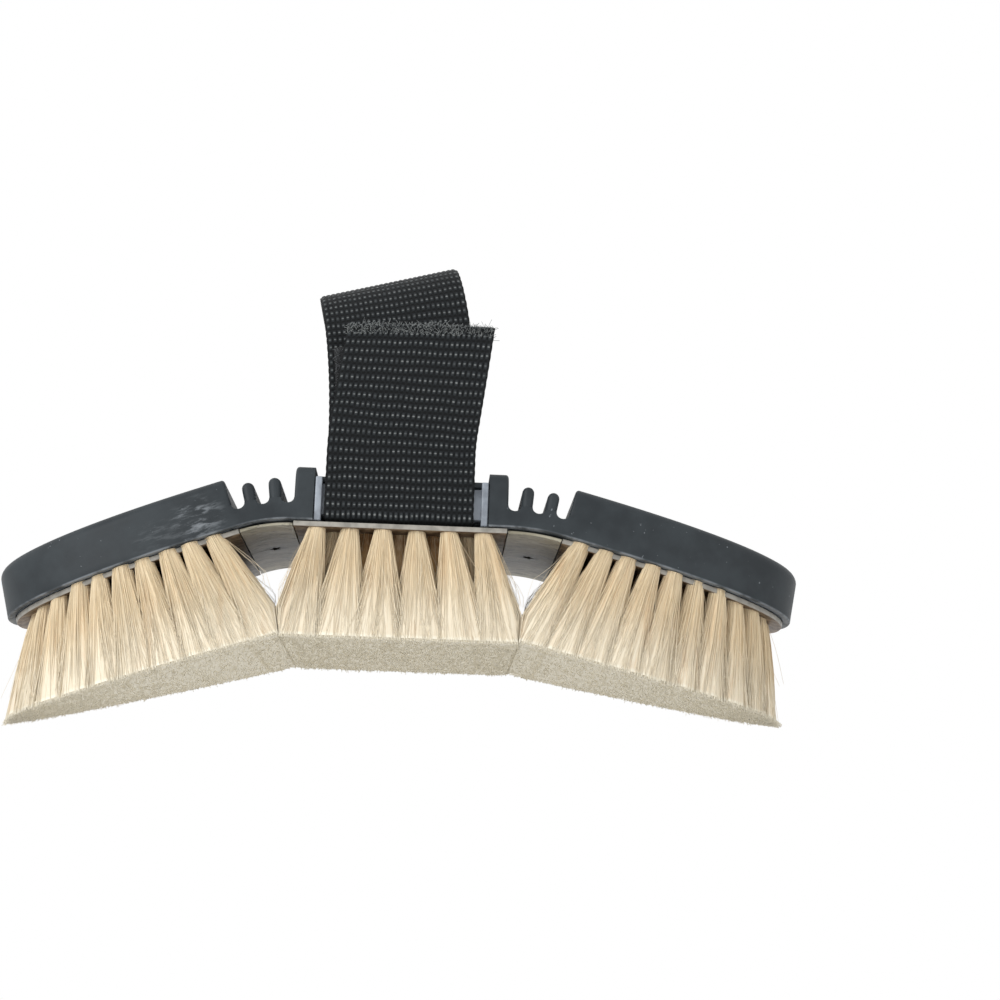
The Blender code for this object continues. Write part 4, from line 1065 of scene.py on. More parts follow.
class Tufts:
    """Places and shapes of the tufts of one block in its flat state; side 0 is the center block."""

    def __init__(self, side, settings):
        self.side = side
        self.settings = settings
        rows = self.center_rows() if side == 0 else self.wing_rows()
        chance = np.random.default_rng(40 + side)
        self.count = len(rows)
        self.root = rows[:, 0:2] + chance.normal(0.0, settings.unevenness, (self.count, 2))
        self.tip = rows[:, 2:4]
        self.outward = rows[:, 4:6]
        self.edge = np.linalg.norm(self.outward, axis=1) > 0.5
        self.root_radius = settings.root_radius * chance.uniform(0.9, 1.15, self.count)
        self.start = PLATE_THICKNESS / 2 if side == 0 else PLATE_THICKNESS + GAP / 3
        # Painted shade: inner tufts get a darker tone than the tufts on the rim.
        self.tone = chance.uniform(-0.08, 0.08, self.count) + np.where(self.edge, RIM_LIT_TONE, INNER_SHADED_TONE)

    def root_share(self):
        """How much further out than its packed stand-in a tuft is rooted."""
        return (BODY_HALF_WIDTH - self.settings.edge_inset) / TUFT_HALF_WIDTH

    def half_width(self):
        """Half width of the trimmed face."""
        return TUFT_HALF_WIDTH * SIDE_STRETCH + self.settings.outline_reach

    def wing_rows(self):
        """Rows that follow the wing's outline, each tuft as root, tip and the way that it faces out."""
        settings, side = self.settings, self.side
        pitch = settings.tuft_pitch
        first = HINGE_END + ROOT_HINGE_INSET[side]
        last = BODY_HALF_LENGTH - TUFT_TOE_INSET
        self.tip_first = HINGE_MIDDLE + least_reach(side, BRISTLE_LENGTH) + settings.hinge_reach
        self.tip_last = last + BRISTLE_END_LENGTH * math.tan(TOE_SPLAY[side])
        stretch = (self.tip_last - self.tip_first) / (last - first)
        self.tip_radius = settings.tip_share * pitch * np.array([stretch, END_STRETCH])
        along, across = plan_outline(400)
        rows = []
        inset = 0.0
        while TUFT_HALF_WIDTH - inset > 0.3 * pitch:
            xs = first + (last - inset - first) * along
            ys = (TUFT_HALF_WIDTH - inset) * across
            run = np.concatenate([[0.0], np.cumsum(np.hypot(np.diff(xs), np.diff(ys)))])
            places = np.linspace(0.0, run[-1], max(3, round(run[-1] / pitch) + 1))
            for place in places:
                x, y = float(np.interp(place, run, xs)), float(np.interp(place, run, ys))
                tip_x = self.tip_first + (self.tip_last - self.tip_first) * (x - first) / (last - first)
                out = np.zeros(2)
                if inset == 0.0:
                    out = np.array([max(x - (first + last) / 2, 0.0) ** 3 / (last - first) ** 2, y])
                    out /= np.linalg.norm(out)
                elif place in (0.0, run[-1]):
                    out = np.array([-1.0, 0.0])
                rows.append((x, y * self.root_share(), tip_x, y * SIDE_STRETCH, out[0], out[1]))
            inset += pitch
        return np.array(rows)

    def center_rows(self):
        """Straight rows, every other one set half a pitch over."""
        settings = self.settings
        last = HINGE_START - settings.center_inset
        reach = {side: HINGE_MIDDLE - least_reach(side, BRISTLE_LENGTH) - 1.6 * settings.hinge_reach
                 for side in (-1, 1)}
        columns = settings.center_columns
        count = round(2 * TUFT_HALF_WIDTH / settings.tuft_pitch) + 1
        self.tip_radius = settings.tip_share * np.array([(reach[-1] + reach[1]) / (columns - 1),
                                                         settings.tuft_pitch * END_STRETCH])
        rows = []
        for i in range(count):
            y = -TUFT_HALF_WIDTH + 2 * TUFT_HALF_WIDTH * i / (count - 1)
            for j in range(columns - i % 2):
                share = (j + 0.5 * (i % 2)) / (columns - 1)
                out = (0.0, 0.0)
                if i in (0, count - 1):
                    out = (0.0, math.copysign(1.0, y))
                elif j in (0, columns - 1 - i % 2):
                    out = (math.copysign(1.0, share - 0.5), 0.0)
                rows.append((-last + 2 * last * share, y * self.root_share(),
                             -reach[-1] + (reach[-1] + reach[1]) * share, y * SIDE_STRETCH) + out)
        return np.array(rows)

    def fitted(self, tips):
        """Tips eased back inside the outline that the trimmed hair keeps."""
        half = self.half_width()
        out = tips.copy()
        if self.side == 0:
            part = np.abs(out[..., 1]) / half
        else:
            ahead = np.maximum(out[..., 0] - self.tip_first, 0.0)
            length = self.tip_last + self.settings.outline_reach - self.tip_first
            part = (ahead / length) ** PLAN_ROUNDNESS + (np.abs(out[..., 1]) / half) ** PLAN_ROUNDNESS
            part = part ** (1 / PLAN_ROUNDNESS)
        left = 1 - OUTLINE_EASE
        kept = np.where(part > OUTLINE_EASE, OUTLINE_EASE + left * np.tanh((part - OUTLINE_EASE) / left), part)
        scale = kept / np.maximum(part, 1e-9)
        if self.side:
            out[..., 0] = np.where(ahead > 0.0, self.tip_first + ahead * scale, out[..., 0])
        out[..., 1] *= scale
        return out

    def strands(self, counts, seed, stations, loose=0.0):
        """Paths of single strands in the flat state, as (strand, station, xyz), and each one's tone, which carries
        painted shade.
        """
        settings = self.settings
        chance = np.random.default_rng(seed)
        owner = np.repeat(np.arange(self.count), counts)
        total = len(owner)
        spin = chance.uniform(0.0, 2 * np.pi, total)
        out = np.sqrt(chance.uniform(settings.hollow ** 2, 1.0, total))
        circle = out[:, None] * np.stack([np.cos(spin), np.sin(spin)], axis=1)
        root = self.root[owner] + self.root_radius[owner, None] * circle
        wander = chance.normal(0.0, settings.wander, (total, 2)) * (1 + 4 * loose)
        away = self.outward[owner]
        sideways = np.stack([-away[:, 1], away[:, 0]], axis=1)
        wander = wander + sideways * chance.normal(0.0, settings.blend, (total, 1))
        tip = self.tip[owner] + self.tip_radius * squared(circle)
        even, tip = self.fitted(tip), self.fitted(tip + wander)
        long = np.where(chance.uniform(0, 1, total) < LONG_SHARE, chance.uniform(0.0, LONG_REACH, total), 0.0)
        uneven = np.clip(chance.normal(0.0, settings.trim, total), -0.0008, 0.0002)
        length = hair_length(self.side, tip[:, 0], tip[:, 1]) + uneven + long - LENGTH_DROP
        bow = chance.normal(0.0, settings.bow, (total, 2))
        spare = 0.00005 + chance.uniform(0.0, 0.0003, total)
        paths = np.zeros((total, stations, 3))
        for k, share in enumerate(np.linspace(0.0, 1.0, stations)):
            paths[:, k, 0:2] = root + (even - root) * share ** settings.flare + bow * math.sin(math.pi * share)
            paths[:, k, 0:2] += (tip - even) * share ** 2.5
            paths[:, k, 2] = self.start - (self.start + length) * share
            paths[:, k, 0] = kept_inside(self.side, paths[:, k, 0], -paths[:, k, 2], spare)
        # Painted shade: a strand on a tuft's outward side gets a lighter tone, one turned inward a darker tone.
        facing = np.sum(circle * away, axis=1)
        tones = self.tone[owner] + 0.3 * facing + chance.normal(0.0, 0.15, total)
        return paths, np.clip(tones, 0.0, 1.0)

    def stray_counts(self):
        """Stray hairs on each tuft: most next to a hinge, few at the toe."""
        if self.side == 0:
            gap = np.abs(self.root[:, 0]) > HINGE_START - 0.01
            toe = np.zeros(self.count, bool)
        else:
            gap = self.root[:, 0] < HINGE_END + 0.006
            toe = self.root[:, 0] > BODY_HALF_LENGTH - 0.02
        elsewhere = np.where(self.edge, STRAYS_ON_RIM, STRAYS_INSIDE)
        return np.where(gap, STRAYS_AT_HINGE, np.where(toe, STRAYS_AT_TOE, elsewhere))

    def cores(self, rim=20, stations=7):
        """Rings of every tuft's solid inside, as (tuft, station, rim, xyz) in the flat state."""
        settings = self.settings
        chance = np.random.default_rng(11)
        turns = 2 * np.pi * np.arange(rim) / rim
        circle = np.stack([np.cos(turns), np.sin(turns)], axis=1) * settings.core_share
        circle = circle * (1 + 0.04 * chance.normal(0.0, 1.0, (self.count, rim, 1)))
        root = self.root[:, None] + self.root_radius[:, None, None] * circle
        tip = self.fitted(self.tip[:, None] + self.tip_radius * squared(circle))
        rings = np.zeros((self.count, stations + 1, rim, 3))
        low = hair_length(self.side, tip[..., 0], tip[..., 1]) - settings.core_drop
        for k, share in enumerate(np.linspace(0.0, 1.0, stations)):
            rings[:, k, :, 0:2] = root + (tip - root) * share ** settings.flare
            rings[:, k, :, 2] = self.start - (self.start + low) * share
            rings[:, k, :, 0] = kept_inside(self.side, rings[:, k, :, 0], -rings[:, k, :, 2], CORE_SPARE)
        middle = rings[:, stations - 1].mean(axis=1, keepdims=True)
        rings[:, stations] = middle + (rings[:, stations - 1] - middle) * CORE_END_SHARE
        return rings


def set_in_world(side, points):
    """Flat state points that ride on a wing, x outward, turned about its hinge; side 0 is the center block."""
    points = np.asarray(points, float)
    if side:
        angle = FLEX_ANGLE[side]
        out, rise = points[..., 0] - HINGE_MIDDLE, points[..., 2] - FLEX_AXIS_HEIGHT
        x = HINGE_MIDDLE + out * math.cos(angle) + rise * math.sin(angle)
        z = FLEX_AXIS_HEIGHT - out * math.sin(angle) + rise * math.cos(angle)
        points = np.stack([side * x, points[..., 1], z], axis=-1)
    return placed(points, BLOCK)


def tuft_core_mesh(tufts):
    """Solid inside of every tuft, which widens from its root to its trimmed end."""
    rings = tufts.cores()
    count, stations, rim = rings.shape[:3]
    points = rings.reshape(-1, 3)
    faces = lofted(rings[0])[1] + np.arange(count)[:, None, None] * stations * rim
    mesh = mesh_of("cores", set_in_world(tufts.side, points), faces.reshape(-1, 4))
    remember_place(mesh, points)
    # Painted shade: the solid inside is darker than the tuft's strands.
    remember_value(mesh, "tone", np.repeat(tufts.tone - CORE_SHADE_DROP, stations * rim))
    shares = np.append(np.linspace(0.0, 1.0, stations - 1), 1.0)
    remember_value(mesh, "along", np.tile(np.repeat(shares, rim), count))
    return outward(mesh)


def face_points(tufts, across, forward):
    """Points of the trimmed face in the flat state, from shares across it and along it from the hinge side."""
    reach = tufts.settings.outline_reach - tufts.settings.face_inset
    half = tufts.half_width() - tufts.settings.face_inset
    if tufts.side == 0:
        ends = [HINGE_MIDDLE - least_reach(side, BRISTLE_LENGTH) for side in (-1, 1)]
        x, y = -ends[0] + (ends[0] + ends[1]) * forward, half * across
    else:
        power = 2.0 / PLAN_ROUNDNESS
        low = HINGE_MIDDLE + least_reach(tufts.side, BRISTLE_LENGTH)
        turn = math.pi / 2 * forward
        x = low + (tufts.tip_last + reach - low) * np.sin(turn) ** power
        y = half * across * np.maximum(np.cos(turn), 0.0) ** power
    level = hair_length(tufts.side, x, y) - tufts.settings.face_lift
    return kept_inside(tufts.side, x, level, FACE_SPARE), y, level


def trimmed_face_mesh(tufts):
    """Felt like face of the trimmed ends: a thin closed pad over all the tufts' ends, with an uneven surface."""
    chance = np.random.default_rng(23)
    forward, across = np.meshgrid(np.linspace(0.0, 1.0, FACE_ROWS + 1), np.linspace(-1.0, 1.0, FACE_COLUMNS + 1),
                                  indexing="ij")
    x, y, level = face_points(tufts, across, forward)
    under = np.stack([x, y, -level + chance.normal(0.0, FACE_ROUGHNESS, x.shape)], axis=-1)
    over = np.stack([x, y, -level + FACE_THICKNESS], axis=-1)[:, ::-1]
    rings = np.concatenate([under, over], axis=1)
    mesh = strip_mesh("trimmed", set_in_world(tufts.side, rings), FACE_COLUMNS)
    remember_place(mesh, rings)
    return mesh


def stubble_paths(tufts, count, seed):
    """Short ends that stand out of the trimmed face all over it."""
    chance = np.random.default_rng(seed)
    x, y, level = face_points(tufts, chance.uniform(-1.0, 1.0, count), chance.uniform(0.0, 1.0, count))
    reach = tufts.settings.face_lift + np.clip(chance.normal(0.0, 0.00015, count), -0.0003, 0.0004)
    lean = chance.normal(0.0, 1.0, (count, 2)) * (0.0009, 0.0004)
    paths = np.zeros((count, 3, 3))
    for k, share in enumerate((0.0, 0.5, 1.0)):
        paths[:, k, 0] = kept_inside(tufts.side, x + lean[:, 0] * share, level, FACE_SPARE)
        paths[:, k, 1] = y + lean[:, 1] * share
        paths[:, k, 2] = -level + 0.0005 - (0.0005 + reach) * share
    return paths


def plate_mesh(side, inset):
    """Plate that the hair of one block is set in, with softened edges."""
    edge = 0.00025
    levels = [(edge * over, edge * (1 - up)) for over, up in arc(4)]
    levels += [(PLATE_THICKNESS - height, further) for height, further in reversed(levels)]
    if side == 0:
        half_x = HINGE_START - GAP / 2
        rings = []
        for height, further in levels:
            x, y = half_x - further, BODY_HALF_WIDTH - inset - further
            rings.append(np.array([[-x, -y, height], [x, -y, height], [x, y, height], [-x, y, height]]))
    else:
        rings = wing_rings(inset, HINGE_END + GAP / 2, levels)
    mesh = skin_mesh("plate", rings)
    flat = coordinates(mesh)
    remember_place(mesh, flat)
    remember_value(mesh, "underside", flat[:, 2] < edge / 4)
    move_points(mesh, set_in_world(side, flat))
    return outward(mesh)


# Settings

def length_property(name, description, default, low=0.0, high=0.5):
    return bpy.props.FloatProperty(name=name, description=description, default=default, min=low, max=high,
                                   precision=5, subtype="DISTANCE", unit="LENGTH")


def share_property(name, description, default, low=0.0, high=1.0):
    return bpy.props.FloatProperty(name=name, description=description, default=default, min=low, max=high,
                                   subtype="FACTOR")


def power_property(name, description, default):
    return bpy.props.FloatProperty(name=name, description=description, default=default, min=0.0, unit="POWER")


def count_property(name, description, default, low, high):
    return bpy.props.IntProperty(name=name, description=description, default=default, min=low, max=high)


def colour_property(name, description, default):
    return bpy.props.FloatVectorProperty(name=name, description=description, default=default, size=3,
                                         min=0.0, max=1.0, subtype="COLOR")


class BodySettings(bpy.types.PropertyGroup):
    """Rubber body, plastic and hinge skins."""

    dark: colour_property("Dark rubber", "Darker tone of the mottled rubber", (0.024, 0.029, 0.033))
    light: colour_property("Light rubber", "Lighter tone of the mottled rubber", (0.037, 0.0445, 0.0495))
    chalk: colour_property("Chalk", "Colour of the chalky scuffs and specks", (0.36, 0.39, 0.42))
    scuff: share_property("Scuffs", "How strongly the scuffs show", 0.5)
    roughness: share_property("Rubber roughness", "Roughness of the rubber", 0.5, 0.1)
    edge: length_property("Bottom edge", "Radius of the rubber's bottom edge", 0.0003, 0.0001, 0.001)
    mouth: length_property("Groove mouth", "Radius of the rubber where a groove opens in it", 0.0008, 0.0003, 0.0014)
    plate_inset: length_property("Plate inset", "How far the wings' plates lie inside the rubber's edge", 0.0019)
    plastic: colour_property("Plastic", "Milky plastic of the core and bases", (0.30, 0.335, 0.38))
    plastic_dim: colour_property("Dim plastic", "Duller tone of the plastic", (0.17, 0.19, 0.22))
    strip: colour_property("Plate edge", "Edge of the plates that hold the hair", (0.36, 0.34, 0.30))
    strip_dim: colour_property("Dim plate edge", "Duller tone of the plates' edge", (0.22, 0.21, 0.185))
    # Painted shade on the plates' underside between the roots, in a dark and a lighter tone.
    painted_root_shade: colour_property("Painted root shade", "Dark glue between the roots", (0.085, 0.05, 0.027))
    painted_root_shade_light: colour_property("Light glue", "Lighter places of the plates' underside", (0.23, 0.165, 0.105))
    skin_dark: colour_property("Dark skin", "Dark streaks of the hinge skins", (0.10, 0.09, 0.06))
    skin_dim: colour_property("Dim skin", "Duller places of the hinge skins", (0.29, 0.265, 0.19))
    skin_light: colour_property("Light skin", "Lighter places of the hinge skins", (0.52, 0.49, 0.385))
    skin_torn: colour_property("Torn skin", "Round the star shaped hole", (0.03, 0.026, 0.02))


class HairSettings(bpy.types.PropertyGroup):
    """Goat hair tufts."""

    tuft_pitch: length_property("Tuft pitch", "Distance between neighbouring tufts", 0.0064, 0.003, 0.02)
    center_columns: count_property("Center columns", "Tufts along the center block", 6, 3, 14)
    center_inset: length_property("Center inset", "Distance of the center block's last tufts from its ends", 0.0064)
    unevenness: length_property("Unevenness", "How far tufts stand off their even places", 0.00025)
    edge_inset: length_property("Edge inset", "Distance of the outer tufts' roots from the body's side", 0.0033)
    root_radius: length_property("Root radius", "Radius of a tuft at its root", 0.0022, 0.0005, 0.005)
    tip_share: share_property("Tip share", "Radius of a tuft's end as a share of the ends' pitch", 0.63, 0.3)
    flare: share_property("Flare", "How late along its length a tuft spreads", 0.94, 0.5, 2.0)
    hinge_reach: length_property("Hinge reach", "How far the last tufts' ends stay off the meeting plane", 0.0026)
    outline_reach: length_property("Outline reach", "How far the hair reaches past its outer tufts' ends", 0.0034)
    hollow: share_property("Hollow share", "Share of a tuft's radius without loose strands", 0.8, 0.0, 0.98)
    bow: length_property("Bow", "How far strands bow sideways", 0.0002)
    wander: length_property("Wander", "How far strand ends stray", 0.0003)
    blend: length_property("Blend", "How far strand ends stray along the rim, into the next tuft", 0.0016)
    trim: length_property("Trim", "Unevenness of the trimmed ends", 0.00022)
    core_share: share_property("Core share", "Size of a tuft's solid inside", 0.9, 0.3)
    core_drop: length_property("Core drop", "How far the solid inside stops short of the ends", 0.0009)
    face_inset: length_property("Face inset", "How far the trimmed face stays inside the outline", 0.0009)
    face_lift: length_property("Face lift", "How far the trimmed face lies above the longest ends", 0.0004)
    edge_strands: count_property("Edge strands", "Strands in a tuft on the rim", 380, 10, 600)
    inner_strands: count_property("Inner strands", "Strands in an inner tuft", 40, 4, 200)
    stubble: count_property("Cut ends", "Short ends on one trimmed face", 5000, 100, 20000)
    strand_radius: length_property("Strand radius", "Radius of one strand", 0.0001, 0.00003, 0.0005)
    cream: colour_property("Cream", "Colour of the hair toward its roots", (0.82, 0.68, 0.465))
    # Painted highlight: the hair's colour toward its tips.
    tip_highlight: colour_property("Pale", "Colour of the hair toward its tips", (0.83, 0.745, 0.585))
    warm: colour_property("Warm", "Warm streaks in the hair", (0.68, 0.46, 0.25))
    # Tan: the hair's real streaks, and painted shade on the hair between the tufts.
    tan: colour_property("Tan", "Hair between the tufts", (0.60, 0.36, 0.14))
    # Painted shade at the roots between the tufts.
    root: colour_property("Root", "Roots between the tufts", (0.25, 0.125, 0.045))
    cut: colour_property("Cut ends", "Colour of the trimmed face", (0.88, 0.82, 0.68))
    cut_dark: colour_property("Dark cut ends", "Darker tone of the trimmed face", (0.79, 0.735, 0.60))


class StrapSettings(bpy.types.PropertyGroup):
    """Webbing strap and its closure."""

    thickness: length_property("Thickness", "Thickness of the webbing", WEBBING_THICKNESS, 0.0008, 0.003)
    cord_pitch: length_property("Cord pitch", "Distance between the cords across the strap", 0.00136, 0.0005, 0.004)
    row_pitch: length_property("Row pitch", "Distance between the rows along the strap", 0.0024, 0.0005, 0.005)
    relief: length_property("Relief", "How far the cords stand up", 0.00022, 0.0, 0.0006)
    selvedge: length_property("Selvedge", "How far the edge threads bulge", 0.0003, 0.0, 0.001)
    webbing: colour_property("Webbing", "Dark tone of the nylon", (0.0045, 0.005, 0.0055))
    # Painted light: the lit tone of the cords' crowns and threads; the frayed fibres take it as their darker tone.
    nylon_tone_and_crown_light: colour_property("Light webbing", "Lighter tone of the nylon", (0.042, 0.048, 0.052))
    # Painted shade between the cords.
    groove: colour_property("Groove", "Colour between the cords", (0.0015, 0.0015, 0.0015))
    # Painted highlight on the cords' crowns.
    painted_glint: colour_property("Glint", "Glint on the crowns of the cords", (0.27, 0.285, 0.28))
    fray: colour_property("Fray", "Colour of the melted fibres at the cut end", (0.33, 0.35, 0.345))


class StudioSettings(bpy.types.PropertyGroup):
    """Floor, lamps and camera."""

    floor_drop: length_property("Floor drop", "How far the floor lies below the brush", 0.1, 0.0, 1.0)
    floor_reach: length_property("Floor reach", "Radius at which the floor has faded out", 0.5, 0.1, 5.0)
    floor_colour: colour_property("Floor", "Colour of the floor", (0.86, 0.86, 0.86))
    key: power_property("Key lamp", "Power of the key lamp", 2.9)
    fill: power_property("Fill lamp", "Power of the fill lamp", 0.9)
    low: power_property("Low lamp", "Power of the low front lamp", 1.3)
    ambient: share_property("Ambient", "Strength of the light from all round", 0.66, 0.0, 2.0)


class BrushSettings(bpy.types.PropertyGroup):
    """All settings of the brush."""

    body: bpy.props.PointerProperty(type=BodySettings)
    hair: bpy.props.PointerProperty(type=HairSettings)
    strap: bpy.props.PointerProperty(type=StrapSettings)
    studio: bpy.props.PointerProperty(type=StudioSettings)


# Operators

class BuildRubber(bpy.types.Operator):
    """Build the rubber body: one moulding for each side and the palm cover between them"""

    bl_idname = "grooming_brush.build_rubber"
    bl_label = "Rubber body"

    def execute(self, context):
        settings = context.scene.grooming_brush.body
        rubber = finish_of("grip_rubber", rubber_material, settings)
        for side in (-1, 1):
            mesh = moulding_mesh(settings.edge, settings.mouth)
            bend_mesh(mesh, side)
            word = SIDE_NAME[side]
            piece = add_piece(word + "_rubber", mesh, rubber)
            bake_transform(piece)
            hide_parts(word + "_cover", word + "_bellows")
        low = (-RECESS_HALF_LENGTH - 0.00005, -RECESS_FLOOR, CORE_TOP + GAP)
        high = (RECESS_HALF_LENGTH + 0.00005, RECESS_FLOOR, CENTER_LIP)
        mesh = box_mesh("palm", [(low, high)], 0.0005)
        remember_place(mesh, coordinates(mesh))
        set_on_block(mesh)
        palm = add_piece("palm_rubber", mesh, rubber)
        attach(palm, "center")
        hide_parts("center_cover")
        return {"FINISHED"}


class BuildPlastic(bpy.types.Operator):
    """Build the plastic core with its guide ribs and the plates, and finish the wing bases"""

    bl_idname = "grooming_brush.build_plastic"
    bl_label = "Plastic core and plates"

    def execute(self, context):
        settings = context.scene.grooming_brush.body
        plastic = finish_of("milky_plastic", plastic_material, settings)
        half = HINGE_START - GAP / 2 - COVER_END_WALL - GAP
        width = RECESS_FLOOR - GAP
        boxes = [((-half, -width, CHANNEL_ROOF), (half, width, CORE_TOP)),
                 ((-half, -width, COVER_BOTTOM), (-CHANNEL_HALF, width, CHANNEL_ROOF + 0.001)),
                 ((CHANNEL_HALF, -width, COVER_BOTTOM), (half, width, CHANNEL_ROOF + 0.001))]
        outer = RECESS_HALF_LENGTH - GAP
        inner = outer - GUIDE_RIB_WIDTH
        for side_x in (-1, 1):
            for side_y in (-1, 1):
                xs = sorted((side_x * inner, side_x * outer))
                ys = sorted((side_y * (width - 0.001), side_y * (BODY_HALF_WIDTH - GAP)))
                boxes.append(((xs[0], ys[0], COVER_BOTTOM), (xs[1], ys[1], CENTER_HEIGHT - GUIDE_RIB_DROP)))
        mesh = box_mesh("core", boxes, 0.00035)
        set_on_block(mesh)
        core = add_piece("plastic_core", mesh, plastic)
        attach(core, "center")
        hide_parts("center_base")
        glued = finish_of("hair_plate", plate_material, settings)
        for side, word, body in BLOCKS:
            inset = settings.plate_inset if side else PLATE_SETBACK
            plate = add_piece(word + "_plate", plate_mesh(side, inset), glued)
            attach(plate, body)
            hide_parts(word + "_bristles")
        for word in ("left_base", "right_base"):
            node = frame["nodes"][word]
            node.data.materials.clear()
            node.data.materials.append(plastic)
        return {"FINISHED"}


def star_cutter():
    """Star shaped bar through a hinge skin's middle in the flat state."""
    corners = []
    for i in range(2 * STAR_POINTS):
        radius = STAR_OUTER_RADIUS if i % 2 == 0 else STAR_INNER_RADIUS
        turn = math.pi * i / STAR_POINTS
        corners.append((HINGE_MIDDLE + radius * math.cos(turn), radius * math.sin(turn)))
    return skin_mesh("star", [[(x, y, level) for x, y in corners] for level in (-0.004, 0.004)])


def hinge_skin_mesh():
    """Thin skin under a hinge in the flat state, a little uneven, with a star shaped hole."""
    start, end = HINGE_START + GAP / 2, HINGE_END - GAP / 2
    half = BODY_HALF_WIDTH - WEB_SETBACK
    bottom = PLATE_THICKNESS - WEB_THICKNESS - GAP
    stations = np.linspace(-half, half, 57)
    xs = np.linspace(start, end, 25)
    chance = np.random.default_rng(5)
    wave = chance.normal(0.0, 1.0, (len(stations), 6))
    rings = []
    for row, y in enumerate(stations):
        share = (xs - start) / (end - start)
        sag = 0.00012 * np.sin(math.pi * share) * (1 + 0.3 * wave[row, 0])
        under = np.stack([xs, np.full(len(xs), y), bottom + sag], axis=1)
        over = np.stack([xs, np.full(len(xs), y), np.full(len(xs), bottom + WEB_THICKNESS * 0.9)], axis=1)[::-1]
        rings.append(np.concatenate([under, over]))
    return cut_away(skin_mesh("skin", rings), [star_cutter()])


class BuildHingeSkins(bpy.types.Operator):
    """Build the thin skin under each hinge"""

    bl_idname = "grooming_brush.build_hinge_skins"
    bl_label = "Hinge skins"

    def execute(self, context):
        settings = context.scene.grooming_brush.body
        skin = finish_of("streaky_skin", skin_material, settings)
        for side in (-1, 1):
            mesh = hinge_skin_mesh()
            bend_mesh(mesh, side)
            word = SIDE_NAME[side]
            piece = add_piece(word + "_hinge_skin", mesh, skin)
            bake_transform(piece)
            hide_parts(word + "_web")
        return {"FINISHED"}


class BuildHair(bpy.types.Operator):
    """Build the hair of the three blocks: tuft cores, strands and trimmed faces"""

    bl_idname = "grooming_brush.build_hair"
    bl_label = "Goat hair"

    def execute(self, context):
        settings = context.scene.grooming_brush.hair
        hair = finish_of("goat_hair", hair_material, settings)
        cut = finish_of("cut_hair_ends", cut_hair_material, settings)
        share = 1
        for side, word, body in BLOCKS:
            tufts = Tufts(side, settings)
            pieces = [add_piece(word + "_tufts", tuft_core_mesh(tufts), hair, 60.0),
                      add_piece(word + "_trimmed_face", trimmed_face_mesh(tufts), cut, 60.0)]
            counts = np.where(tufts.edge, settings.edge_strands // share, settings.inner_strands // share)
            flat, tones = tufts.strands(counts, 100 + side, 5)
            shape = np.linspace(0.0, 1.0, flat.shape[1])
            radii = np.broadcast_to(settings.strand_radius * (1 - 0.2 * shape ** 3), flat.shape[:2])
            pieces.append(fibre_piece(word + "_strands", set_in_world(side, flat), radii, hair, 200 + side,
                                      tones=tones))
            flat = stubble_paths(tufts, settings.stubble // share, 700 + side)
            radii = np.full(flat.shape[:2], settings.strand_radius)
            pieces.append(fibre_piece(word + "_cut_ends", set_in_world(side, flat), radii, cut, 800 + side))
            for piece in pieces:
                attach(piece, body)
                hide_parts(word + "_bristles")
        return {"FINISHED"}


class BuildStrayHairs(bpy.types.Operator):
    """Build the fine hairs that stray out of the tufts"""

    bl_idname = "grooming_brush.build_stray_hairs"
    bl_label = "Stray hairs"

    def execute(self, context):
        settings = context.scene.grooming_brush.hair
        hair = finish_of("goat_hair", hair_material, settings)
        for side, word, body in BLOCKS:
            tufts = Tufts(side, settings)
            chance = np.random.default_rng(300 + side)
            flat, _ = tufts.strands(tufts.stray_counts(), 400 + side, 8, 0.9)
            total = len(flat)
            shape = np.linspace(0.0, 1.0, flat.shape[1])
            curl = chance.normal(0.0, 0.0008, (total, 2))
            flat[:, :, 0:2] += curl[:, None, :] * (np.sin(1.4 * math.pi * shape) * shape)[None, :, None]
            flat[:, :, 2] *= chance.uniform(0.5, 1.0, total)[:, None]
            flat[:, :, 0] = kept_inside(side, flat[:, :, 0], -flat[:, :, 2], 0.0001)
            radii = np.full(flat.shape[:2], STRAY_RADIUS)
            piece = fibre_piece(word + "_stray_hairs", set_in_world(side, flat), radii, hair, 500 + side,
                                tones=chance.uniform(0.5, 1.0, total))
            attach(piece, body)
        return {"FINISHED"}


class BuildStrap(bpy.types.Operator):
    """Build the woven hand strap: the near run with the tab, and the far run over the hand"""

    bl_idname = "grooming_brush.build_strap"
    bl_label = "Hand strap"

    def execute(self, context):
        settings = context.scene.grooming_brush.strap
        webbing = finish_of("nylon_webbing", webbing_material, settings)
        half = WEBBING_WIDTH / 2
        runs = (("near_strap_run", near_run_point, UNDERPASS_RUN + TAB_LENGTH, "near_tab", "near_tab_peel",
                 ("strap_near_tab", "strap_underpass")),
                ("far_strap_run", far_run_point, UNDERPASS_RUN + ARCH_LENGTH - GAP, "far_band", "far_band_fold",
                 ("strap_far_band", "strap_underpass")))
        for name, point, length, body, joint, nodes in runs:
            mesh = webbing_mesh(point, length, settings, half)
            set_on_block(mesh)
            piece = add_piece(name, mesh, webbing, 75.0)
            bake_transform(piece)
            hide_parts(*nodes)
        return {"FINISHED"}


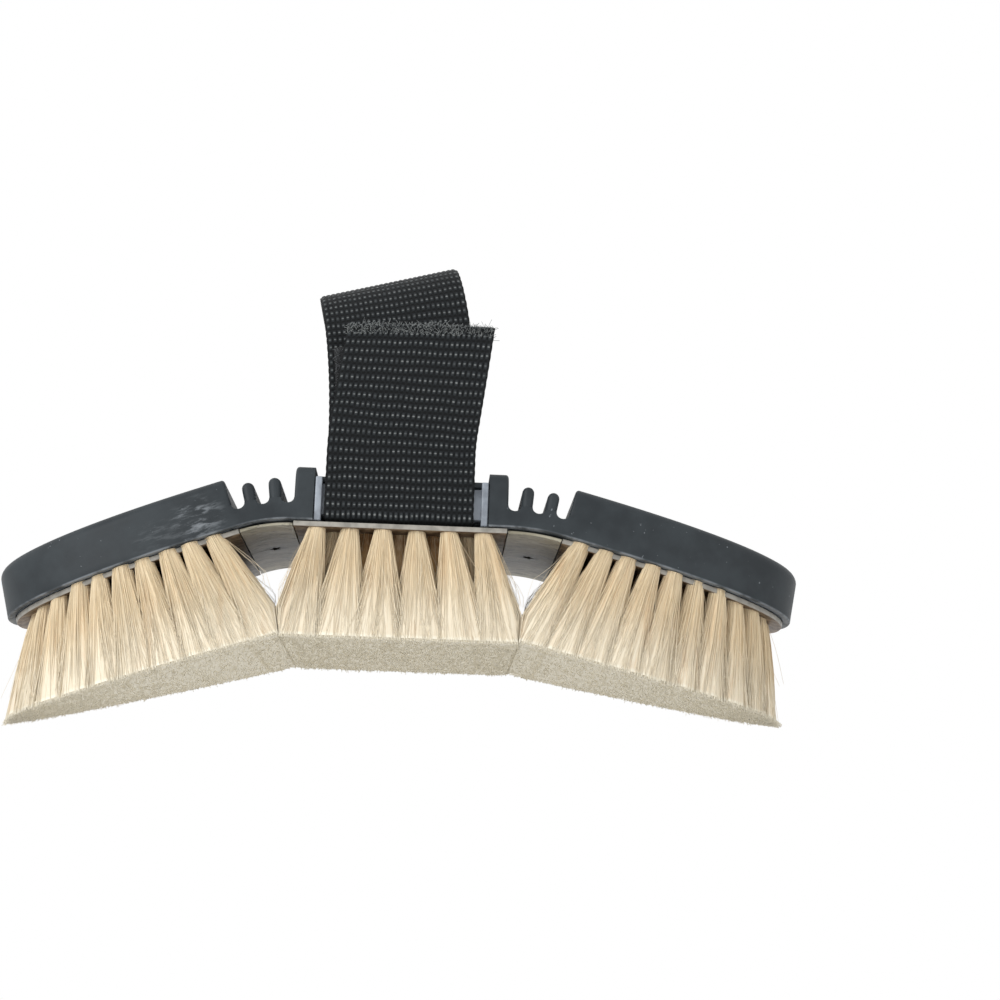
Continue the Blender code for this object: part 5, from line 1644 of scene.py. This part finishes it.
class BuildTapes(bpy.types.Operator):
    """Build the hook tape inside the tab and the loop tape on the band under it"""

    bl_idname = "grooming_brush.build_tapes"
    bl_label = "Closure tapes"

    def execute(self, context):
        hook_finish = finish_of("hook_tape", tape_material, (0.008, 0.008, 0.009), (0.03, 0.03, 0.03))
        loop_finish = finish_of("loop_tape", tape_material, (0.006, 0.0065, 0.007), (0.022, 0.024, 0.026))
        pile = finish_of("tape_fibres", fibre_material, (0.010, 0.011, 0.012), (0.13, 0.14, 0.15))
        half = WEBBING_WIDTH / 2 - PATCH_SIDE_MARGIN
        start, stop = PATCH_FOOT_MARGIN, TAB_LENGTH - PATCH_END_MARGIN
        chance = np.random.default_rng(71)
        face = -PATCH_THICKNESS / 2 + TAPE_BACKING

        def tab_side(distance, share, half_width, offset):
            return tab_point(distance, share, half_width, HOOK_OFFSET + offset)

        def band_side(distance, share, half_width, offset):
            return strap_point(distance, share * half_width, LOOP_OFFSET + offset)

        tapes = (("hook_tape_backing", tab_side, -face, PATCH_THICKNESS / 2, hook_finish,
                  "near_tab", "strap_hook_patch", "hook"),
                 ("loop_tape_backing", band_side, -PATCH_THICKNESS / 2, face, loop_finish,
                  "far_band", "strap_loop_patch", "loop"))
        for name, point, low, high, finish, body, node, slot in tapes:
            mesh = tape_mesh(point, start, stop, half, low, high)
            set_on_block(mesh)
            piece = add_piece(name, mesh, finish)
            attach(piece, body)
            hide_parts(node)
        s, a = np.meshgrid(np.linspace(start + 0.001, stop - 0.001, HOOK_ROWS),
                           np.linspace(-0.95, 0.95, HOOK_COLUMNS), indexing="ij")
        s, a = s.ravel(), a.ravel()
        hooks = np.stack([tab_side(s + lean, a, half, np.full(len(s), face - rise + 0.0004))
                          for rise, lean in zip(HOOK_RISE, HOOK_LEAN)], axis=1)
        radii = np.full(hooks.shape[:2], HOOK_RADIUS)
        piece = fibre_piece("hook_tape_hooks", placed(hooks, BLOCK), radii, pile, 72)
        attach(piece, "near_tab")
        s = chance.uniform(start + 0.0005, stop - 0.0005, LOOP_COUNT)
        a = chance.uniform(-0.98, 0.98, LOOP_COUNT)
        turn = chance.uniform(0.0, 2 * math.pi, LOOP_COUNT)
        reach = chance.uniform(0.0003, 0.0012, LOOP_COUNT)
        rise = chance.uniform(0.00025, 0.00055, LOOP_COUNT)
        loops = []
        for share in np.linspace(0.0, 1.0, 6):
            step = (share - 0.5) * 2 * reach
            level = face + rise * math.sin(math.pi * share)
            loops.append(band_side(s + step * np.sin(turn), a + step * np.cos(turn) / half, half, level))
        loops = np.stack(loops, axis=1)
        radii = np.full(loops.shape[:2], LOOP_RADIUS)
        piece = fibre_piece("loop_tape_pile", placed(loops, BLOCK), radii, pile, 73)
        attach(piece, "far_band")
        return {"FINISHED"}


class BuildTrimming(bpy.types.Operator):
    """Build the frayed fibres of the strap's cut end"""

    bl_idname = "grooming_brush.build_trimming"
    bl_label = "Frayed end"

    def execute(self, context):
        settings = context.scene.grooming_brush.strap
        fray = finish_of("frayed_fibres", fibre_material, settings.nylon_tone_and_crown_light, settings.fray)
        chance = np.random.default_rng(81)
        half = WEBBING_WIDTH / 2
        a = chance.uniform(-1.0, 1.0, FRAY_COUNT)
        level = chance.uniform(-0.4, 0.62, FRAY_COUNT) * settings.thickness
        from_end = chance.uniform(-0.0028, 0.0, FRAY_COUNT)
        reach = chance.gamma(2.0, 0.00024, FRAY_COUNT)
        lean = chance.normal(0.0, 0.0006, (FRAY_COUNT, 2))
        paths = []
        for share in np.linspace(0.0, 1.0, 5):
            paths.append(near_run_point(UNDERPASS_RUN + TAB_LENGTH + from_end + reach * share,
                                        a + lean[:, 0] * share ** 2 / half, half,
                                        np.clip(level + lean[:, 1] * share ** 2, -0.0009, 0.0016)))
        paths = np.stack(paths, axis=1)
        radii = np.full(paths.shape[:2], FRAY_RADIUS)
        piece = fibre_piece("tab_frayed_end", placed(paths, BLOCK), radii, fray, 82)
        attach(piece, "near_tab")
        return {"FINISHED"}


def add_lamp(name, place, width, height, power):
    """Soft rectangular lamp, aimed at the brush."""
    lamp = bpy.data.lights.new(name, "AREA")
    lamp.shape = "RECTANGLE"
    lamp.size = width
    lamp.size_y = height
    lamp.energy = power
    item = bpy.data.objects.new(name, lamp)
    bpy.context.scene.collection.objects.link(item)
    item.location = place
    item.rotation_mode = "QUATERNION"
    item.rotation_quaternion = (LAMP_AIM - Vector(place)).to_track_quat("-Z", "Y")


def camera_matrix():
    """Place of the camera in the world, looking up at the brush's near side from below it."""
    forward = Vector((math.sin(CAMERA_YAW) * math.cos(CAMERA_PITCH), math.cos(CAMERA_YAW) * math.cos(CAMERA_PITCH),
                      math.sin(CAMERA_PITCH)))
    level = Vector((math.cos(CAMERA_YAW), -math.sin(CAMERA_YAW), 0.0))
    upright = level.cross(forward)
    right = level * math.cos(CAMERA_ROLL) + upright * math.sin(CAMERA_ROLL)
    up = upright * math.cos(CAMERA_ROLL) - level * math.sin(CAMERA_ROLL)
    turn = Matrix((right, up, -forward)).transposed().to_4x4()
    return BLOCK @ Matrix.Translation(CAMERA_PLACE) @ turn


class BuildStudio(bpy.types.Operator):
    """Build the floor, the lamps, the white surroundings and the camera"""

    bl_idname = "grooming_brush.build_studio"
    bl_label = "Studio"

    def execute(self, context):
        settings = context.scene.grooming_brush.studio
        scene = context.scene
        work = bmesh.new()
        bmesh.ops.create_circle(work, cap_ends=True, segments=96, radius=settings.floor_reach * 1.02)
        mesh = bpy.data.meshes.new("studio_floor")
        work.to_mesh(mesh)
        work.free()
        floor = bpy.data.objects.new("studio_floor", mesh)
        mesh.materials.append(floor_material("studio_floor", settings))
        scene.collection.objects.link(floor)
        floor.location = (0.0, 0.0, -settings.floor_drop)
        for word, place, width, height in LAMPS:
            add_lamp(word + "_lamp", place, width, height, getattr(settings, word))
        world = bpy.data.worlds.new("studio_surroundings")
        scene.world = world
        world.use_nodes = True
        tree = world.node_tree
        path = add_node(tree, "ShaderNodeLightPath").outputs
        seen = maths(tree, "MAXIMUM", path["Is Camera Ray"], path["Is Transmission Ray"])
        seen = maths(tree, "MAXIMUM", seen, path["Is Glossy Ray"])
        strength = maths(tree, "MULTIPLY_ADD", seen, 1.0 - settings.ambient, settings.ambient)
        connect(tree, tree.nodes["Background"], {"Color": (1.0, 1.0, 1.0, 1.0), "Strength": strength})
        camera = bpy.data.cameras.new("photo_camera")
        camera.lens = CAMERA_LENS
        camera.sensor_width = 36.0
        camera.clip_start = 0.01
        item = bpy.data.objects.new("photo_camera", camera)
        scene.collection.objects.link(item)
        item.matrix_world = camera_matrix()
        scene.camera = item
        scene.view_settings.view_transform = "Standard"
        return {"FINISHED"}


STEPS = (BuildRubber, BuildPlastic, BuildHingeSkins, BuildHair, BuildStrayHairs, BuildStrap, BuildTapes,
         BuildTrimming, BuildStudio)


class BrushPanel(bpy.types.Panel):
    """Lists the steps that build the brush."""

    bl_idname = "VIEW3D_PT_grooming_brush"
    bl_label = "Grooming Brush"
    bl_space_type = "VIEW_3D"
    bl_region_type = "UI"
    bl_category = "Grooming Brush"

    def draw(self, context):
        settings = context.scene.grooming_brush
        for step in STEPS:
            self.layout.operator(step.bl_idname)
        for group in (settings.body, settings.hair, settings.strap, settings.studio):
            box = self.layout.box()
            for name in group.__annotations__:
                box.prop(group, name)


CLASSES = (BodySettings, HairSettings, StrapSettings, StudioSettings, BrushSettings) + STEPS + (BrushPanel,)


def register():
    for item in CLASSES:
        bpy.utils.register_class(item)
    bpy.types.Scene.grooming_brush = bpy.props.PointerProperty(type=BrushSettings)


def unregister():
    del bpy.types.Scene.grooming_brush
    for item in reversed(CLASSES):
        bpy.utils.unregister_class(item)


def main():
    register()
    for step in STEPS:
        group, name = step.bl_idname.split(".")
        getattr(getattr(bpy.ops, group), name)()


if __name__ == "__main__":
    main()
